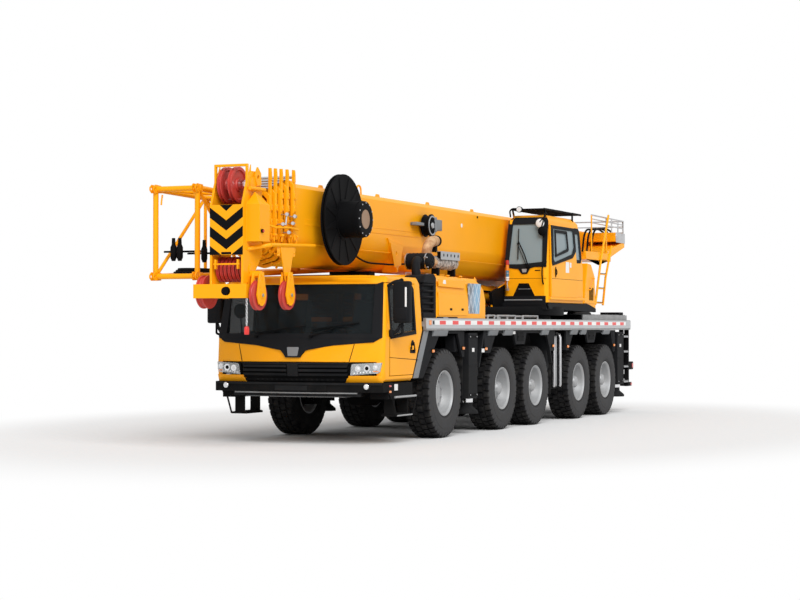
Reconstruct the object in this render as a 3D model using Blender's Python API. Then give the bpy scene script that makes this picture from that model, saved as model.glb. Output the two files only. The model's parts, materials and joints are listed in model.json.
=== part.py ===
# A five-axle all-terrain crane in travel order: carrier, superstructure, telescopic boom and folding jib.
# Metres, +X forward, +Y left, +Z up. Stations (x) are measured forward from the front axle.
import math

import bmesh
import bpy
from mathutils import Vector

for old in list(bpy.data.objects):
    bpy.data.objects.remove(old)

FRONT_AXLE_X = 2.95  # puts the middle of the whole crane on the origin
SEAT = 0.0003  # gap between pieces that rest on each other
SLIDE = 0.0006  # gap between pieces that slide on each other
RUNNING = 0.006  # gap between pieces that move past each other

# Wheels and axles
TYRE_RADIUS = 0.69
TYRE_WIDTH = 0.445
TYRE_FACETS = 20
HUB_HEIGHT = TYRE_RADIUS * math.cos(math.pi / TYRE_FACETS)
CARRIER_HALF = 1.375
WHEEL_Y = CARRIER_HALF - TYRE_WIDTH / 2
KINGPIN_Y = 0.985
WHEEL_DISC = 0.005  # how far the disc reaches inboard of the wheel's centre
# name, station, whether it steers
AXLES = (
    ("1", 0.0, True),
    ("2", -2.53, True),
    ("3", -4.18, False),
    ("4", -6.57, True),
    ("5", -8.22, True),
)

# Carrier
FRAME_HALF = 0.50
FRAME_TOP = 1.70
FRAME_BOTTOM = 0.98
FRAME_REAR = -9.85
FRAME_NOSE = 2.10
NOSE_BOTTOM = 0.72
CAB_REAR = 0.82
DECK_FRONT = 0.80
DECK_TOP = 1.775
DECK_RAIL_TOP = 1.83
DECK_RAIL_BOTTOM = 1.64
SLEW_X = -5.40
RING_RADIUS = 1.14
RING_TOP = 1.90
# name, station of the housing
OUTRIGGERS = (("front", -1.17), ("rear", -9.20))
HOUSING_HALF = 0.27
HOUSING_Y = 1.10
BEAM_WIDTH = 0.22
BEAM_BOTTOM = 1.16
BEAM_TOP = 1.50
COLUMN_HALF = 0.19
COLUMN_BOTTOM = 0.56
COLUMN_TOP = 1.60
JACK_RADIUS = 0.09
FOOT_BOTTOM = 0.32
FOOT_RADIUS = 0.18

# Driver's cab
CAB_HALF = 1.35
CAB_ROOF_HALF = 1.29
CAB_WALL = 0.05
CAB_FLOOR = 0.90
NOSE_TOP = CAB_FLOOR - SEAT
CAB_ROOF = 2.44
CAB_FRONT = 2.50
BELT = 1.56
NOSE_SWEEP = 0.20  # how far the front curves back at the cab's sides
CAB_ARCH = (1.24, 1.64)  # where the wheel arch cuts the cab's lower rear corner
DOOR_FRONT = 2.10
DOOR_REAR = 1.06
DOOR_BOTTOM = 0.99
DOOR_TOP = 2.33
SCREEN_TOP = 2.31
GRILLE_BOTTOM = 0.985
GRILLE_TOP = 1.165
LAMP_TOP = 1.19
BUMPER_BOTTOM = 0.70

# Engine hood and what stands beside it
HOOD_FRONT = 0.24
HOOD_REAR = -1.86
HOOD_TOP = 2.49
HOOD_WALL = 0.04

# Superstructure
DISC_RADIUS = 1.37
DISC_TOP = 2.05
PLATE_IN = 0.452
PLATE_OUT = 0.496
PIVOT = (-7.90, 3.20)
TAIL = -10.30
TAIL_FLOOR = 2.98
HOIST_FLOOR = 3.32  # underside at the tail's end
RAIL_TOP = 3.85
PLATFORM_TOP = 2.13
CYLINDER_FOOT = (-6.00, 2.26)
CYLINDER_EYE = (-2.60, 2.36)
BARREL_RADIUS = 0.165
ROD_RADIUS = 0.115
EYE_HALF = 0.15

# Operator's cab
CABIN_FRONT = -4.86
CABIN_REAR = -6.95
CABIN_IN = 0.51
CABIN_OUT = 1.33
CABIN_FLOOR = 2.14
CABIN_WAIST = 2.78
CABIN_ROOF = 3.70
CABIN_WALL = 0.045
CABIN_PIVOT = (-6.99, 2.15)
CABIN_DOOR_REAR = -6.42
CABIN_DOOR_FRONT = -5.02

# Boom
BOOM_AXIS_Z = 3.12
BOOM_REAR = -8.12
BOOM_WALL = 0.014
COLLAR_LENGTH = 0.07
COLLAR_WALL = 0.032  # how far a collar stands proud of its tube
FIN_TOP = 3.87
# name, half width, half height, station of its front collar
SECTIONS = (
    ("boom_base", 0.430, 0.575, 3.38),
    ("boom_section_1", 0.392, 0.527, 3.50),
    ("boom_section_2", 0.356, 0.481, 3.61),
    ("boom_section_3", 0.320, 0.437, 3.71),
    ("boom_section_4", 0.284, 0.395, 3.80),
    ("boom_head_section", 0.248, 0.353, 3.90),
)
SECTION_SETBACK = 0.16  # each section ends this far behind the one around it
HEAD_FRONT = 4.45
HEAD_HALF = 0.255
HEAD_PLATE = 0.032
HEAD_TOP = 3.89
HEAD_BOTTOM = 2.08
UPPER_SHEAVE = (4.16, 3.62, 0.245)  # station, height, radius
LOWER_SHEAVE = (4.21, 2.47, 0.172)
SIDE_SHEAVE = (4.20, -0.44, 2.17, 0.225)  # station, width, height, radius
BLOCK_RADIUS = 0.20
# station, width and height of the two sheave blocks on the left
BLOCKS = ((4.22, 0.36, 2.12), (3.62, 0.49, 2.13))
REEL = (2.12, 3.24)
REEL_RADIUS = 0.66
REEL_IN = 0.585
REEL_OUT = 1.00
REEL_HUB = 0.265

# Folding jib on the boom's right side
JIB_FRONT = 4.14
JIB_REAR = -5.10


class Form:
    """Closed shells that overlap. They are fused into one solid, or used together as a cutter."""

    def __init__(self):
        self.shells = []

    def skin(self, rings):
        """A shell through rings of as many points each, capped at both ends; a ring of one point is a tip."""
        mesh = bmesh.new()
        loops = [[mesh.verts.new(point) for point in ring] for ring in rings]
        for ring, after in zip(loops, loops[1:]):
            count = max(len(ring), len(after))
            for i in range(count):
                corners = [ring[i % len(ring)], ring[(i + 1) % len(ring)]]
                corners += [after[(i + 1) % len(after)], after[i % len(after)]]
                mesh.faces.new(list(dict.fromkeys(corners)))
        for cap in (loops[0], loops[-1]):
            if len(cap) > 2:
                mesh.faces.new(cap)
        bmesh.ops.recalc_face_normals(mesh, faces=mesh.faces)
        bmesh.ops.triangulate(mesh, faces=mesh.faces, quad_method="FIXED")
        self.shells.append(mesh)
        return self

    def prism(self, outline, axis, low, high):
        """An outline in the two other axes, in their order, extruded from low to high along the axis."""
        at = {"x": lambda p, h: (h, *p), "y": lambda p, h: (p[0], h, p[1]), "z": lambda p, h: (*p, h)}[axis]
        return self.skin([[at(p, low) for p in outline], [at(p, high) for p in outline]])

    def box(self, x, y, z):
        outline = [(x[0], y[0]), (x[1], y[0]), (x[1], y[1]), (x[0], y[1])]
        return self.prism(outline, "z", *z)

    def turned(self, profile, axis, centre, steps=16, phase=0.5):
        """A profile of (distance along the axis, radius) pairs, turned about the axis through centre."""
        rings = []
        for along, radius in profile:
            count = steps if radius else 1
            ring = []
            for i in range(count):
                turn = 2 * math.pi * (i + phase) / steps
                across, up = radius * math.sin(turn), -radius * math.cos(turn)
                offset = {"x": (along, across, up), "y": (across, along, up), "z": (across, up, along)}[axis]
                ring.append(Vector(centre) + Vector(offset))
            rings.append(ring)
        return self.skin(rings)

    def bar(self, start, end, radius, sides=6):
        """A straight round bar, or a square one with four sides."""
        start, end = Vector(start), Vector(end)
        turn = (end - start).to_track_quat("Z", "X")
        angles = [2 * math.pi * (i + 0.5) / sides for i in range(sides)]
        ring = [turn @ Vector((radius * math.cos(a), radius * math.sin(a), 0)) for a in angles]
        return self.skin([[start + p for p in ring], [end + p for p in ring]])

    def path(self, points, radius, sides=6):
        """Straight bars from point to point."""
        for start, end in zip(points, points[1:]):
            self.bar(start, end, radius, sides)
        return self

    def mirrored(self):
        """The same shells on the other side of the centre line."""
        for shell in self.shells:
            for vertex in shell.verts:
                vertex.co.y = -vertex.co.y
            bmesh.ops.reverse_faces(shell, faces=shell.faces)
        return self

    def with_mirror(self):
        """These shells and their mirror images."""
        other = Form()
        other.shells = [shell.copy() for shell in self.shells]
        self.shells += other.mirrored().shells
        return self


def paint(name, colour, roughness, metallic=0.0):
    material = bpy.data.materials.new(name)
    material.use_nodes = True
    shader = material.node_tree.nodes["Principled BSDF"]
    shader.inputs["Base Color"].default_value = (*colour, 1)
    shader.inputs["Roughness"].default_value = roughness
    shader.inputs["Metallic"].default_value = metallic
    return material


YELLOW = paint("crane_yellow", (0.90, 0.42, 0.02), 0.35)
DARK = paint("frame_black", (0.02, 0.02, 0.022), 0.55)
GREY = paint("deck_grey", (0.35, 0.36, 0.37), 0.5)
ALLOY = paint("bright_metal", (0.72, 0.72, 0.72), 0.3, 0.9)
RUBBER = paint("tyre_rubber", (0.03, 0.03, 0.03), 0.85)
GLASS = paint("cab_glass", (0.10, 0.13, 0.14), 0.05)
RED = paint("sheave_red", (0.60, 0.06, 0.05), 0.45)
TRIM = paint("cab_trim", (0.05, 0.05, 0.055), 0.7)

ORIGINS = {}


def body(name, parent, origin):
    """An empty on a moving body's joint axis; its nodes and further bodies hang from it."""
    empty = bpy.data.objects.new("body_" + name, None)
    bpy.context.collection.objects.link(empty)
    ORIGINS[empty.name] = Vector(origin)
    if parent:
        empty.parent = parent
        empty.location = Vector(origin) - ORIGINS[parent.name]
    else:
        empty.location = (FRONT_AXLE_X, 0, 0)
    return empty


def shape(name, shells, on):
    """One object that holds the shells, with its origin on its body's."""
    whole = bmesh.new()
    for shell in shells:
        held = bpy.data.meshes.new("held")
        shell.to_mesh(held)
        whole.from_mesh(held)
        bpy.data.meshes.remove(held)
    bmesh.ops.translate(whole, verts=whole.verts, vec=-ORIGINS[on.name])
    mesh = bpy.data.meshes.new(name)
    whole.to_mesh(mesh)
    whole.free()
    made = bpy.data.objects.new(name, mesh)
    bpy.context.collection.objects.link(made)
    made.parent = on
    return made


def helper(name, shells, on):
    made = shape(name, shells, on)
    made.hide_render = True
    made.display_type = "WIRE"
    return made


def combine(node, operation, other, several):
    step = node.modifiers.new(operation.lower(), "BOOLEAN")
    step.operation = operation
    step.object = other
    step.use_self = several


def node(name, form, material, on, cuts=(), within=None):
    """A sub-part: its shells fused, then cut, and last kept within another form."""
    made = shape(name, form.shells[:1], on)
    if len(form.shells) > 1:
        more = helper(name + ".more", form.shells[1:], on)
        combine(made, "UNION", more, True)
    for i, cut in enumerate(cuts):
        combine(made, "DIFFERENCE", helper(f"{name}.cut{i}", cut.shells, on), len(cut.shells) > 1)
    if within:
        combine(made, "INTERSECT", helper(name + ".within", within.shells, on), False)
    made.data.materials.append(material)
    made.data.shade_smooth()
    made.data.set_sharp_from_angle(angle=math.radians(35))
    return made


carrier = body("carrier", None, (0, 0, 0))
superstructure = body("superstructure", carrier, (SLEW_X, 0, RING_TOP))
boom = body("boom", superstructure, (PIVOT[0], 0, PIVOT[1]))


# Chassis frame: a box girder with the outrigger housings across it, the slewing ring's seat and the boom rest
def tunnels(station):
    """The two passages of a housing, the left beam's ahead of the right one's."""
    form = Form()
    for side in (1, -1):
        middle = station + side * HOUSING_HALF / 2.1
        half = BEAM_WIDTH / 2 + RUNNING
        reach = HOUSING_Y + 0.1
        form.box((middle - half, middle + half), (-reach, reach), (BEAM_BOTTOM, BEAM_TOP + RUNNING))
    return form


REST_X = 0.46
frame_outline = [
    (FRAME_NOSE - 0.08, NOSE_BOTTOM),
    (FRAME_NOSE, NOSE_BOTTOM + 0.08),
    (FRAME_NOSE, NOSE_TOP),
    (CAB_REAR - 0.08, NOSE_TOP),
    (CAB_REAR - 0.08, FRAME_TOP),
    (FRAME_REAR, FRAME_TOP),
    (FRAME_REAR, 1.10),
    (FRAME_REAR + 0.45, FRAME_BOTTOM),
    (0.42, FRAME_BOTTOM),
    (0.66, NOSE_BOTTOM),
]
frame = Form().prism(frame_outline, "y", -FRAME_HALF, FRAME_HALF)
for _, station in OUTRIGGERS:
    frame.box(
        (station - HOUSING_HALF, station + HOUSING_HALF),
        (-HOUSING_Y, HOUSING_Y),
        (BEAM_BOTTOM - 0.07, COLUMN_TOP - 0.01),
    )
ring = [(FRAME_TOP - 0.1, FRAME_HALF - 0.05), (FRAME_TOP + 0.04, RING_RADIUS), (RING_TOP, RING_RADIUS)]
frame.turned(ring, "z", (SLEW_X, 0, 0), 28)
for side in (1, -1):
    post = [(REST_X - 0.10, side * 0.20), (REST_X + 0.10, side * 0.20), (REST_X + 0.10, side * 0.30)]
    post.append((REST_X - 0.10, side * 0.30))
    frame.prism(post, "z", FRAME_TOP - 0.05, BOOM_AXIS_Z - SECTIONS[0][2] - 0.05)
rest_top = BOOM_AXIS_Z - SECTIONS[0][2] - SEAT
frame.box((REST_X - 0.10, REST_X + 0.10), (-0.34, 0.34), (rest_top - 0.12, rest_top))
node("chassis_frame", frame, DARK, carrier, [tunnels(station) for _, station in OUTRIGGERS])

# Axle beams with their forks, differentials, propeller shafts and suspension struts
FORK_IN = KINGPIN_Y - 0.20
FORK_GAP = 0.15
axles = Form().bar((AXLES[0][1] + 0.1, 0, HUB_HEIGHT), (AXLES[-1][1] - 0.1, 0, HUB_HEIGHT), 0.055)
for _, station, steers in AXLES:
    beam_end = FORK_IN if steers else WHEEL_Y - 0.14
    profile = [(-beam_end, 0.10), (-0.32, 0.10), (-0.18, 0.22), (0.18, 0.22), (0.32, 0.10), (beam_end, 0.10)]
    axles.turned(profile, "y", (station, 0, HUB_HEIGHT), 8)
    for side in (1, -1):
        axles.bar((station, side * 0.66, HUB_HEIGHT), (station, side * 0.66, 1.25), 0.055)
        pad = sorted((side * (FRAME_HALF + SEAT), side * 0.74))
        axles.box((station - 0.08, station + 0.08), pad, (1.20, 1.34))
        if steers:
            web = sorted((side * (FORK_IN - 0.02), side * (FORK_IN + 0.07)))
            axles.box((station - 0.065, station + 0.065), web, (HUB_HEIGHT - 0.20, HUB_HEIGHT + 0.20))
            for up in (1, -1):
                span = sorted((HUB_HEIGHT + up * (FORK_GAP + SEAT), HUB_HEIGHT + up * 0.20))
                ear = sorted((side * FORK_IN, side * KINGPIN_Y))
                axles.box((station - 0.064, station + 0.064), ear, span)
                axles.turned([(z, 0.068) for z in span], "z", (station, side * KINGPIN_Y, 0), 8)
        else:
            hub = [(side * (WHEEL_Y - 0.16), 0.20), (side * (WHEEL_Y - WHEEL_DISC - SEAT), 0.20)]
            axles.turned(sorted(hub), "y", (station, 0, HUB_HEIGHT), 12)
node("axles_and_shafts", axles, DARK, carrier)

# Wheels: tyre and dished rim in one, and the knuckles that the steered ones turn on
tyre = TYRE_WIDTH / 2
rim = 0.335
wheel_profile = [
    (0.14, 0),
    (0.14, 0.115),
    (0.035, 0.14),
    (0.035, rim - 0.065),
    (tyre - 0.045, rim),
    (tyre, 0.50),
    (tyre - 0.03, 0.645),
    (tyre - 0.075, TYRE_RADIUS),
    (0.075 - tyre, TYRE_RADIUS),
    (0.03 - tyre, 0.645),
    (-tyre, 0.50),
    (0.045 - tyre, rim - 0.01),
    (-WHEEL_DISC, rim - 0.035),
    (-WHEEL_DISC, 0),
]
for name, station, steers in AXLES:
    for label, side in (("left", 1), ("right", -1)):
        carried = carrier
        if steers:
            carried = body(f"knuckle_{name}_{label}", carrier, (station, side * KINGPIN_Y, HUB_HEIGHT))
            knuckle = Form().turned([(-FORK_GAP, 0.065), (FORK_GAP, 0.065)], "z", (0, KINGPIN_Y, 0), 8)
            knuckle.turned([(KINGPIN_Y, 0.055), (WHEEL_Y - 0.07, 0.055)], "y", (0, 0, 0), 8)
            drum = [(KINGPIN_Y + 0.078, 0.22), (KINGPIN_Y + 0.10, 0.25), (WHEEL_Y - WHEEL_DISC - SEAT, 0.25)]
            knuckle.turned(drum, "y", (0, 0, 0), 12)
            knuckle.bar((0, KINGPIN_Y, -0.09), (-0.24, KINGPIN_Y, -0.09), 0.026)
            for shell in knuckle.shells:
                bmesh.ops.translate(shell, verts=shell.verts, vec=(station, 0, HUB_HEIGHT))
            if side < 0:
                knuckle.mirrored()
            node(f"knuckle_{name}_{label}", knuckle, DARK, carried)
        rolling = body(f"wheel_{name}_{label}", carried, (station, side * WHEEL_Y, HUB_HEIGHT))
        wheel = Form().turned(wheel_profile, "y", (station, WHEEL_Y, HUB_HEIGHT), TYRE_FACETS)
        if side < 0:
            wheel.mirrored()
        node(f"wheel_{name}_{label}", wheel, RUBBER, rolling)


# Outriggers: beams that slide out of the housings, each with a jack in its column
BEAM_INNER = -1.05
BEAM_OUTER = 1.14
COLUMN_OUTER = 1.36
for name, station in OUTRIGGERS:
    for label, side in (("left", 1), ("right", -1)):
        sliding = body(f"outrigger_{name}_{label}", carrier, (station, side * COLUMN_OUTER, BEAM_TOP))
        middle = station + side * HOUSING_HALF / 2.1
        column_y = (BEAM_OUTER + COLUMN_OUTER) / 2
        beam = Form().box(
            (middle - BEAM_WIDTH / 2, middle + BEAM_WIDTH / 2),
            (BEAM_INNER, BEAM_OUTER + 0.02),
            (BEAM_BOTTOM + SLIDE, BEAM_TOP),
        )
        beam.box(
            (station - COLUMN_HALF, station + COLUMN_HALF),
            (BEAM_OUTER, COLUMN_OUTER),
            (COLUMN_BOTTOM, COLUMN_TOP),
        )
        bore = Form().turned(
            [(COLUMN_BOTTOM - 0.1, JACK_RADIUS), (COLUMN_TOP - 0.03, JACK_RADIUS)], "z", (station, column_y, 0), 12
        )
        lifting = body(f"jack_{name}_{label}", sliding, (station, side * column_y, FOOT_BOTTOM))
        jack = Form().turned(
            [
                (FOOT_BOTTOM, FOOT_RADIUS),
                (FOOT_BOTTOM + 0.04, FOOT_RADIUS),
                (FOOT_BOTTOM + 0.12, JACK_RADIUS - SLIDE),
                (COLUMN_TOP - 0.06, JACK_RADIUS - SLIDE),
            ],
            "z",
            (station, column_y, 0),
            12,
        )
        if side < 0:
            beam.mirrored()
            bore.mirrored()
            jack.mirrored()
        node(f"outrigger_beam_{name}_{label}", beam, DARK, sliding, [bore])
        node(f"outrigger_jack_{name}_{label}", jack, GREY, lifting)


# Deck of chequer plate with its edge rails, and the mudguards that hang from it
def circle(centre, radius, steps):
    turns = [2 * math.pi * (i + 0.5) / steps for i in range(steps)]
    return [(centre[0] + radius * math.cos(a), centre[1] + radius * math.sin(a)) for a in turns]


DECK_REAR = FRAME_REAR
deck = Form().box((DECK_REAR, DECK_FRONT), (-CARRIER_HALF, CARRIER_HALF), (FRAME_TOP + SEAT, DECK_TOP))
for side in (1, -1):
    rail = sorted((side * CARRIER_HALF, side * (CARRIER_HALF - 0.045)))
    deck.box((DECK_REAR, DECK_FRONT), rail, (DECK_RAIL_BOTTOM, DECK_RAIL_TOP))
deck.box((DECK_REAR, -7.0), (-1.30, 1.30), (DECK_TOP - 0.02, 1.93))
deck_holes = Form().prism(circle((SLEW_X, 0), RING_RADIUS + 0.06, 28), "z", 1.5, 2.2)
rest_hole = Form().box((REST_X - 0.14, REST_X + 0.14), (-0.38, 0.38), (1.5, 2.2))
node("deck", deck, GREY, carrier, [deck_holes, rest_hole])

GUARD_IN = 0.98
GUARD_OUT = 1.33
GUARD_TOP = DECK_RAIL_BOTTOM - 0.005
GUARD_THICK = 0.045
# front foot, front shoulder, rear shoulder, rear foot as stations, and the height of both feet
GUARDS = (
    (0.95, 0.62, -0.72, -0.86, 0.93, 1.24),
    (-1.50, -1.72, -4.92, -5.14, 1.05, 1.05),
    (-5.90, -6.00, -8.72, -8.86, 1.27, 1.20),
)
SKIRT = 0.04
# side skirts: front and rear at the top, front and rear at the bottom, and the bottom's height
SKIRTS = (
    (0.80, 0.10, 1.21, 0.80, 0.93),
    (-0.56, -0.87, -0.78, -0.87, 1.22),
    (-1.72, -2.32, -1.78, -2.02, 1.27),
    (-3.12, -3.80, -3.24, -3.68, 1.40),
    (-4.78, -5.28, -5.02, -5.24, 1.27),
    (-5.90, -6.38, -5.92, -6.04, 1.27),
    (-7.06, -7.74, -7.18, -7.60, 1.40),
    (-8.74, -8.93, -8.88, -8.93, 1.22),
)
PAD_X = (-5.40, -5.80)


def mudguards():
    form = Form().box((-8.85, 0.68), (GUARD_IN, 1.05), (GUARD_TOP - 0.03, FRAME_TOP))
    for front, shoulder, back, rear, low_front, low_rear in GUARDS:
        inside = GUARD_TOP - GUARD_THICK
        outline = [
            (front, low_front),
            (shoulder, GUARD_TOP),
            (back, GUARD_TOP),
            (rear, low_rear),
            (rear + GUARD_THICK, low_rear),
            (back + GUARD_THICK, inside),
            (shoulder - GUARD_THICK, inside),
            (front - GUARD_THICK, low_front),
        ]
        form.prism(outline, "y", GUARD_IN, GUARD_OUT)
    form.box((-8.97, -8.70), (GUARD_IN, GUARD_OUT), (GUARD_TOP - GUARD_THICK, GUARD_TOP))
    for front, back, low_front, low_rear, low in SKIRTS:
        skirt = [(front, GUARD_TOP), (back, GUARD_TOP), (low_rear, low), (low_front, low)]
        form.prism(skirt, "y", GUARD_OUT - SKIRT, GUARD_OUT)
    # a ribbed support pad stowed upright between the third and fourth wheels
    form.box(PAD_X[::-1], (1.14, 1.20), (0.58, GUARD_TOP - GUARD_THICK + 0.02))
    form.box(PAD_X[::-1], (1.0, 1.16), (GUARD_TOP - 0.03, GUARD_TOP + 0.02))
    for x in (PAD_X[0] - 0.02, PAD_X[1] + 0.06):
        form.box((x - 0.04, x), (1.18, 1.25), (0.60, 1.56))
    return form


node("mudguards_left", mudguards(), DARK, carrier)
node("mudguards_right", mudguards().mirrored(), DARK, carrier)

# Rear bumper with lamp boxes, board carriers and the ladders at both corners
REAR_FACE = FRAME_REAR - SEAT
rear = Form().box((REAR_FACE - 0.13, REAR_FACE), (-1.26, 1.26), (0.84, 0.98))
rear.box((REAR_FACE - 0.10, REAR_FACE), (-0.48, 0.48), (0.62, 1.40))
rear.bar((REAR_FACE - 0.10, -1.28, 0.70), (REAR_FACE - 0.10, 1.28, 0.70), 0.05, 8)
for side in (1, -1):
    rear.box((REAR_FACE - 0.42, REAR_FACE - 0.06), sorted((side * 0.92, side * 1.30)), (0.84, 0.99))
    rear.box((REAR_FACE - 0.06, REAR_FACE - 0.02), sorted((side * 0.95, side * 1.30)), (0.95, 1.56))
    rear.box((REAR_FACE - 0.40, REAR_FACE - 0.05), sorted((side * 0.92, side * 1.28)), (0.50, 0.58))
    for x in (REAR_FACE - 0.02, REAR_FACE + 0.34):
        rear.box((x - 0.03, x + 0.01), sorted((side * 1.24, side * 1.33)), (0.52, DECK_RAIL_BOTTOM - SEAT))
    for i in range(4):
        z = 0.60 + 0.30 * i
        rear.box((REAR_FACE - 0.04, REAR_FACE + 0.34), sorted((side * 1.26, side * 1.33)), (z - 0.02, z + 0.02))
    for y in (0.35, 1.10):
        rear.box((REAR_FACE - 0.12, REAR_FACE - 0.06), sorted((side * (y - 0.04), side * (y + 0.04))), (0.52, 0.90))
node("rear_bumper", rear, DARK, carrier)


# Driver's cab: a hollow shell, curved across its front, with the screen, doors and front fascia set into it
def cab_skin(inset):
    """The cab's outer skin moved inwards by inset: side outlines from right to left."""
    front_low, front_belt, front_top = CAB_FRONT - inset, CAB_FRONT - 0.05 - inset, 2.22 - inset
    outline = [
        (CAB_REAR + inset, CAB_ARCH[1] + inset * 0.4),
        (CAB_ARCH[0] + inset * 0.6, CAB_FLOOR + inset),
        (front_low - 0.06, CAB_FLOOR + inset),
        (front_low, CAB_FLOOR + 0.16),
        (front_belt, BELT),
        (front_top, CAB_ROOF - 0.10 - inset * 0.6),
        (front_top - 0.10, CAB_ROOF - inset),
        (CAB_REAR + 0.08 + inset, CAB_ROOF - inset),
        (CAB_REAR + inset, CAB_ROOF - 0.07 - inset),
    ]
    half = CAB_HALF - inset
    middle = ((CAB_REAR + CAB_FRONT) / 2, (CAB_FLOOR + CAB_ROOF) / 2)
    rings = []
    for share, shrink in ((-1, 0.94), (-0.97, 0.985), (-0.7, 1), (-0.35, 1), (0.35, 1), (0.7, 1), (0.97, 0.985), (1, 0.94)):
        sweep = NOSE_SWEEP * share * share
        ring = []
        for x, z in outline:
            ahead = max(0.0, (x - CAB_REAR) / (CAB_FRONT - CAB_REAR))
            narrowed = half - (CAB_HALF - CAB_ROOF_HALF) * max(0.0, (z - BELT) / (CAB_ROOF - BELT))
            x, z = middle[0] + (x - middle[0]) * shrink, middle[1] + (z - middle[1]) * shrink
            ring.append((x - sweep * ahead**3, share * narrowed, z))
        rings.append(ring)
    return Form().skin(rings)


def door_space(gap):
    """The left doorway, drawn in by the gap."""
    x = (DOOR_REAR + gap, DOOR_FRONT - gap)
    return Form().box(x, (CAB_HALF - 0.13, CAB_HALF + 0.10), (DOOR_BOTTOM + gap, DOOR_TOP - gap))


def door_window():
    outline = [(1.16, 1.64), (1.98, 1.58), (2.00, 2.19), (1.94, 2.25), (1.20, 2.25), (1.16, 2.21)]
    return Form().prism(outline, "y", CAB_HALF - 0.4, CAB_HALF + 0.4)


def screen_space(gap):
    outline = [(-1.20 + gap, BELT + gap), (1.20 - gap, BELT + gap), (1.17 - gap, SCREEN_TOP - gap)]
    outline.append((-1.17 + gap, SCREEN_TOP - gap))
    return Form().prism(outline, "x", 1.95, 2.8)


FASCIA_HALF = 1.24
GRILLE_HALF = 0.84
LAMP_BOTTOM = 1.0
cab_cuts = [
    cab_skin(CAB_WALL),
    door_space(0),
    door_space(0).mirrored(),
    screen_space(0),
    Form().box((2.12, 2.8), (-FASCIA_HALF, FASCIA_HALF), (LAMP_BOTTOM, LAMP_TOP)),
    Form().box((2.12, 2.8), (-GRILLE_HALF, GRILLE_HALF), (CAB_FLOOR - 0.1, LAMP_TOP - 0.01)),
    Form().box((0.5, 1.0), (-0.85, 0.85), (1.70, 2.20)),
]
node("cab", cab_skin(0), YELLOW, carrier, cab_cuts)
GLASS_OUT = 0.012
node("cab_windscreen", cab_skin(GLASS_OUT), GLASS, carrier, [cab_skin(0.034)], screen_space(SEAT))

MIRROR_X = 2.00
MIRROR_Y = 1.515
DOOR_GAP = 0.007
for label, side in (("left", 1), ("right", -1)):
    swinging = body(f"cab_door_{label}", carrier, (DOOR_FRONT, side * (CAB_HALF + 0.012), 1.6))
    cuts = [cab_skin(CAB_WALL), door_window()]
    outer, space = cab_skin(0), door_space(DOOR_GAP)
    arm = [(2.03, CAB_HALF - 0.03, 1.53), (MIRROR_X, MIRROR_Y, 1.60), (MIRROR_X, MIRROR_Y, 2.38), (2.03, CAB_HALF - 0.09, 2.28)]
    fittings = Form().path(arm, 0.018)
    fittings.box((MIRROR_X - 0.06, MIRROR_X + 0.06), (MIRROR_Y - 0.12, MIRROR_Y + 0.12), (1.76, 2.34))
    fittings.box((1.16, 1.32), (CAB_HALF - 0.012, CAB_HALF + 0.03), (1.36, 1.42))
    if side < 0:
        for form in (space, fittings, *cuts[1:]):
            form.mirrored()
    made = node(f"cab_door_{label}", outer, YELLOW, swinging, cuts[:1], space)
    combine(made, "DIFFERENCE", helper(f"cab_door_{label}.window", cuts[1].shells, swinging), False)
    combine(made, "UNION", helper(f"cab_door_{label}.fittings", fittings.shells, swinging), True)


# Front bumper, with the grille's louvres and the headlamps on one carrier behind the fascia's opening
def front_line(y, inset=0.0):
    """How far forward the cab's lower front reaches at this width."""
    return CAB_FRONT - inset - NOSE_SWEEP * (y / CAB_HALF) ** 2


def front_band(half, inner, outer, low, high, steps=6):
    """A band that follows the cab's curved front, its faces so far behind the front line."""
    widths = [-half + 2 * half * i / steps for i in range(steps + 1)]
    outline = [(front_line(y, outer), y) for y in widths]
    outline += [(front_line(y, inner), y) for y in reversed(widths)]
    return outline, low, high


front = Form()
for half, inner, outer, low, high in (
    (CAB_HALF, 0.34, -0.02, BUMPER_BOTTOM + 0.06, CAB_FLOOR - SEAT),
    (0.95, 0.30, 0.03, BUMPER_BOTTOM, BUMPER_BOTTOM + 0.08),
    (GRILLE_HALF - RUNNING, 0.17, 0.115, CAB_FLOOR - 0.05, LAMP_TOP - 0.02),
    (FASCIA_HALF - 0.02, 0.17, 0.115, LAMP_BOTTOM + 0.02, LAMP_TOP - 0.02),
    (GRILLE_HALF - RUNNING, 0.14, 0.02, GRILLE_BOTTOM + 0.006, GRILLE_BOTTOM + 0.030),
    (GRILLE_HALF - RUNNING, 0.14, 0.02, GRILLE_BOTTOM + 0.070, GRILLE_BOTTOM + 0.094),
    (GRILLE_HALF - RUNNING, 0.14, 0.02, GRILLE_BOTTOM + 0.134, GRILLE_BOTTOM + 0.158),
):
    outline, low, high = front_band(half, inner, outer, low, high)
    front.prism(outline, "z", low, high)
for side in (1, -1):
    # entry steps below the doors
    front.box((1.26, 2.12), sorted((side * 1.06, side * 1.34)), (0.66, CAB_FLOOR - 0.015))
    front.box((1.30, 1.82), sorted((side * 1.10, side * 1.36)), (0.40, 0.43))
    for x in (1.32, 1.80):
        front.box((x - 0.015, x + 0.015), sorted((side * 1.14, side * 1.30)), (0.42, 0.70))
    widths = (0.88, 1.05, 1.22)
    lamp = [(front_line(y, 0.0), side * y) for y in widths]
    lamp += [(front_line(y, 0.16), side * y) for y in reversed(widths)]
    front.prism(lamp, "z", LAMP_BOTTOM + 0.006, LAMP_TOP - 0.006)
    front.turned([(2.18, 0.05), (2.355, 0.05)], "x", (0, side * 1.13, 0.82), 10)
node("front_bumper", front, DARK, carrier)

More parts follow.
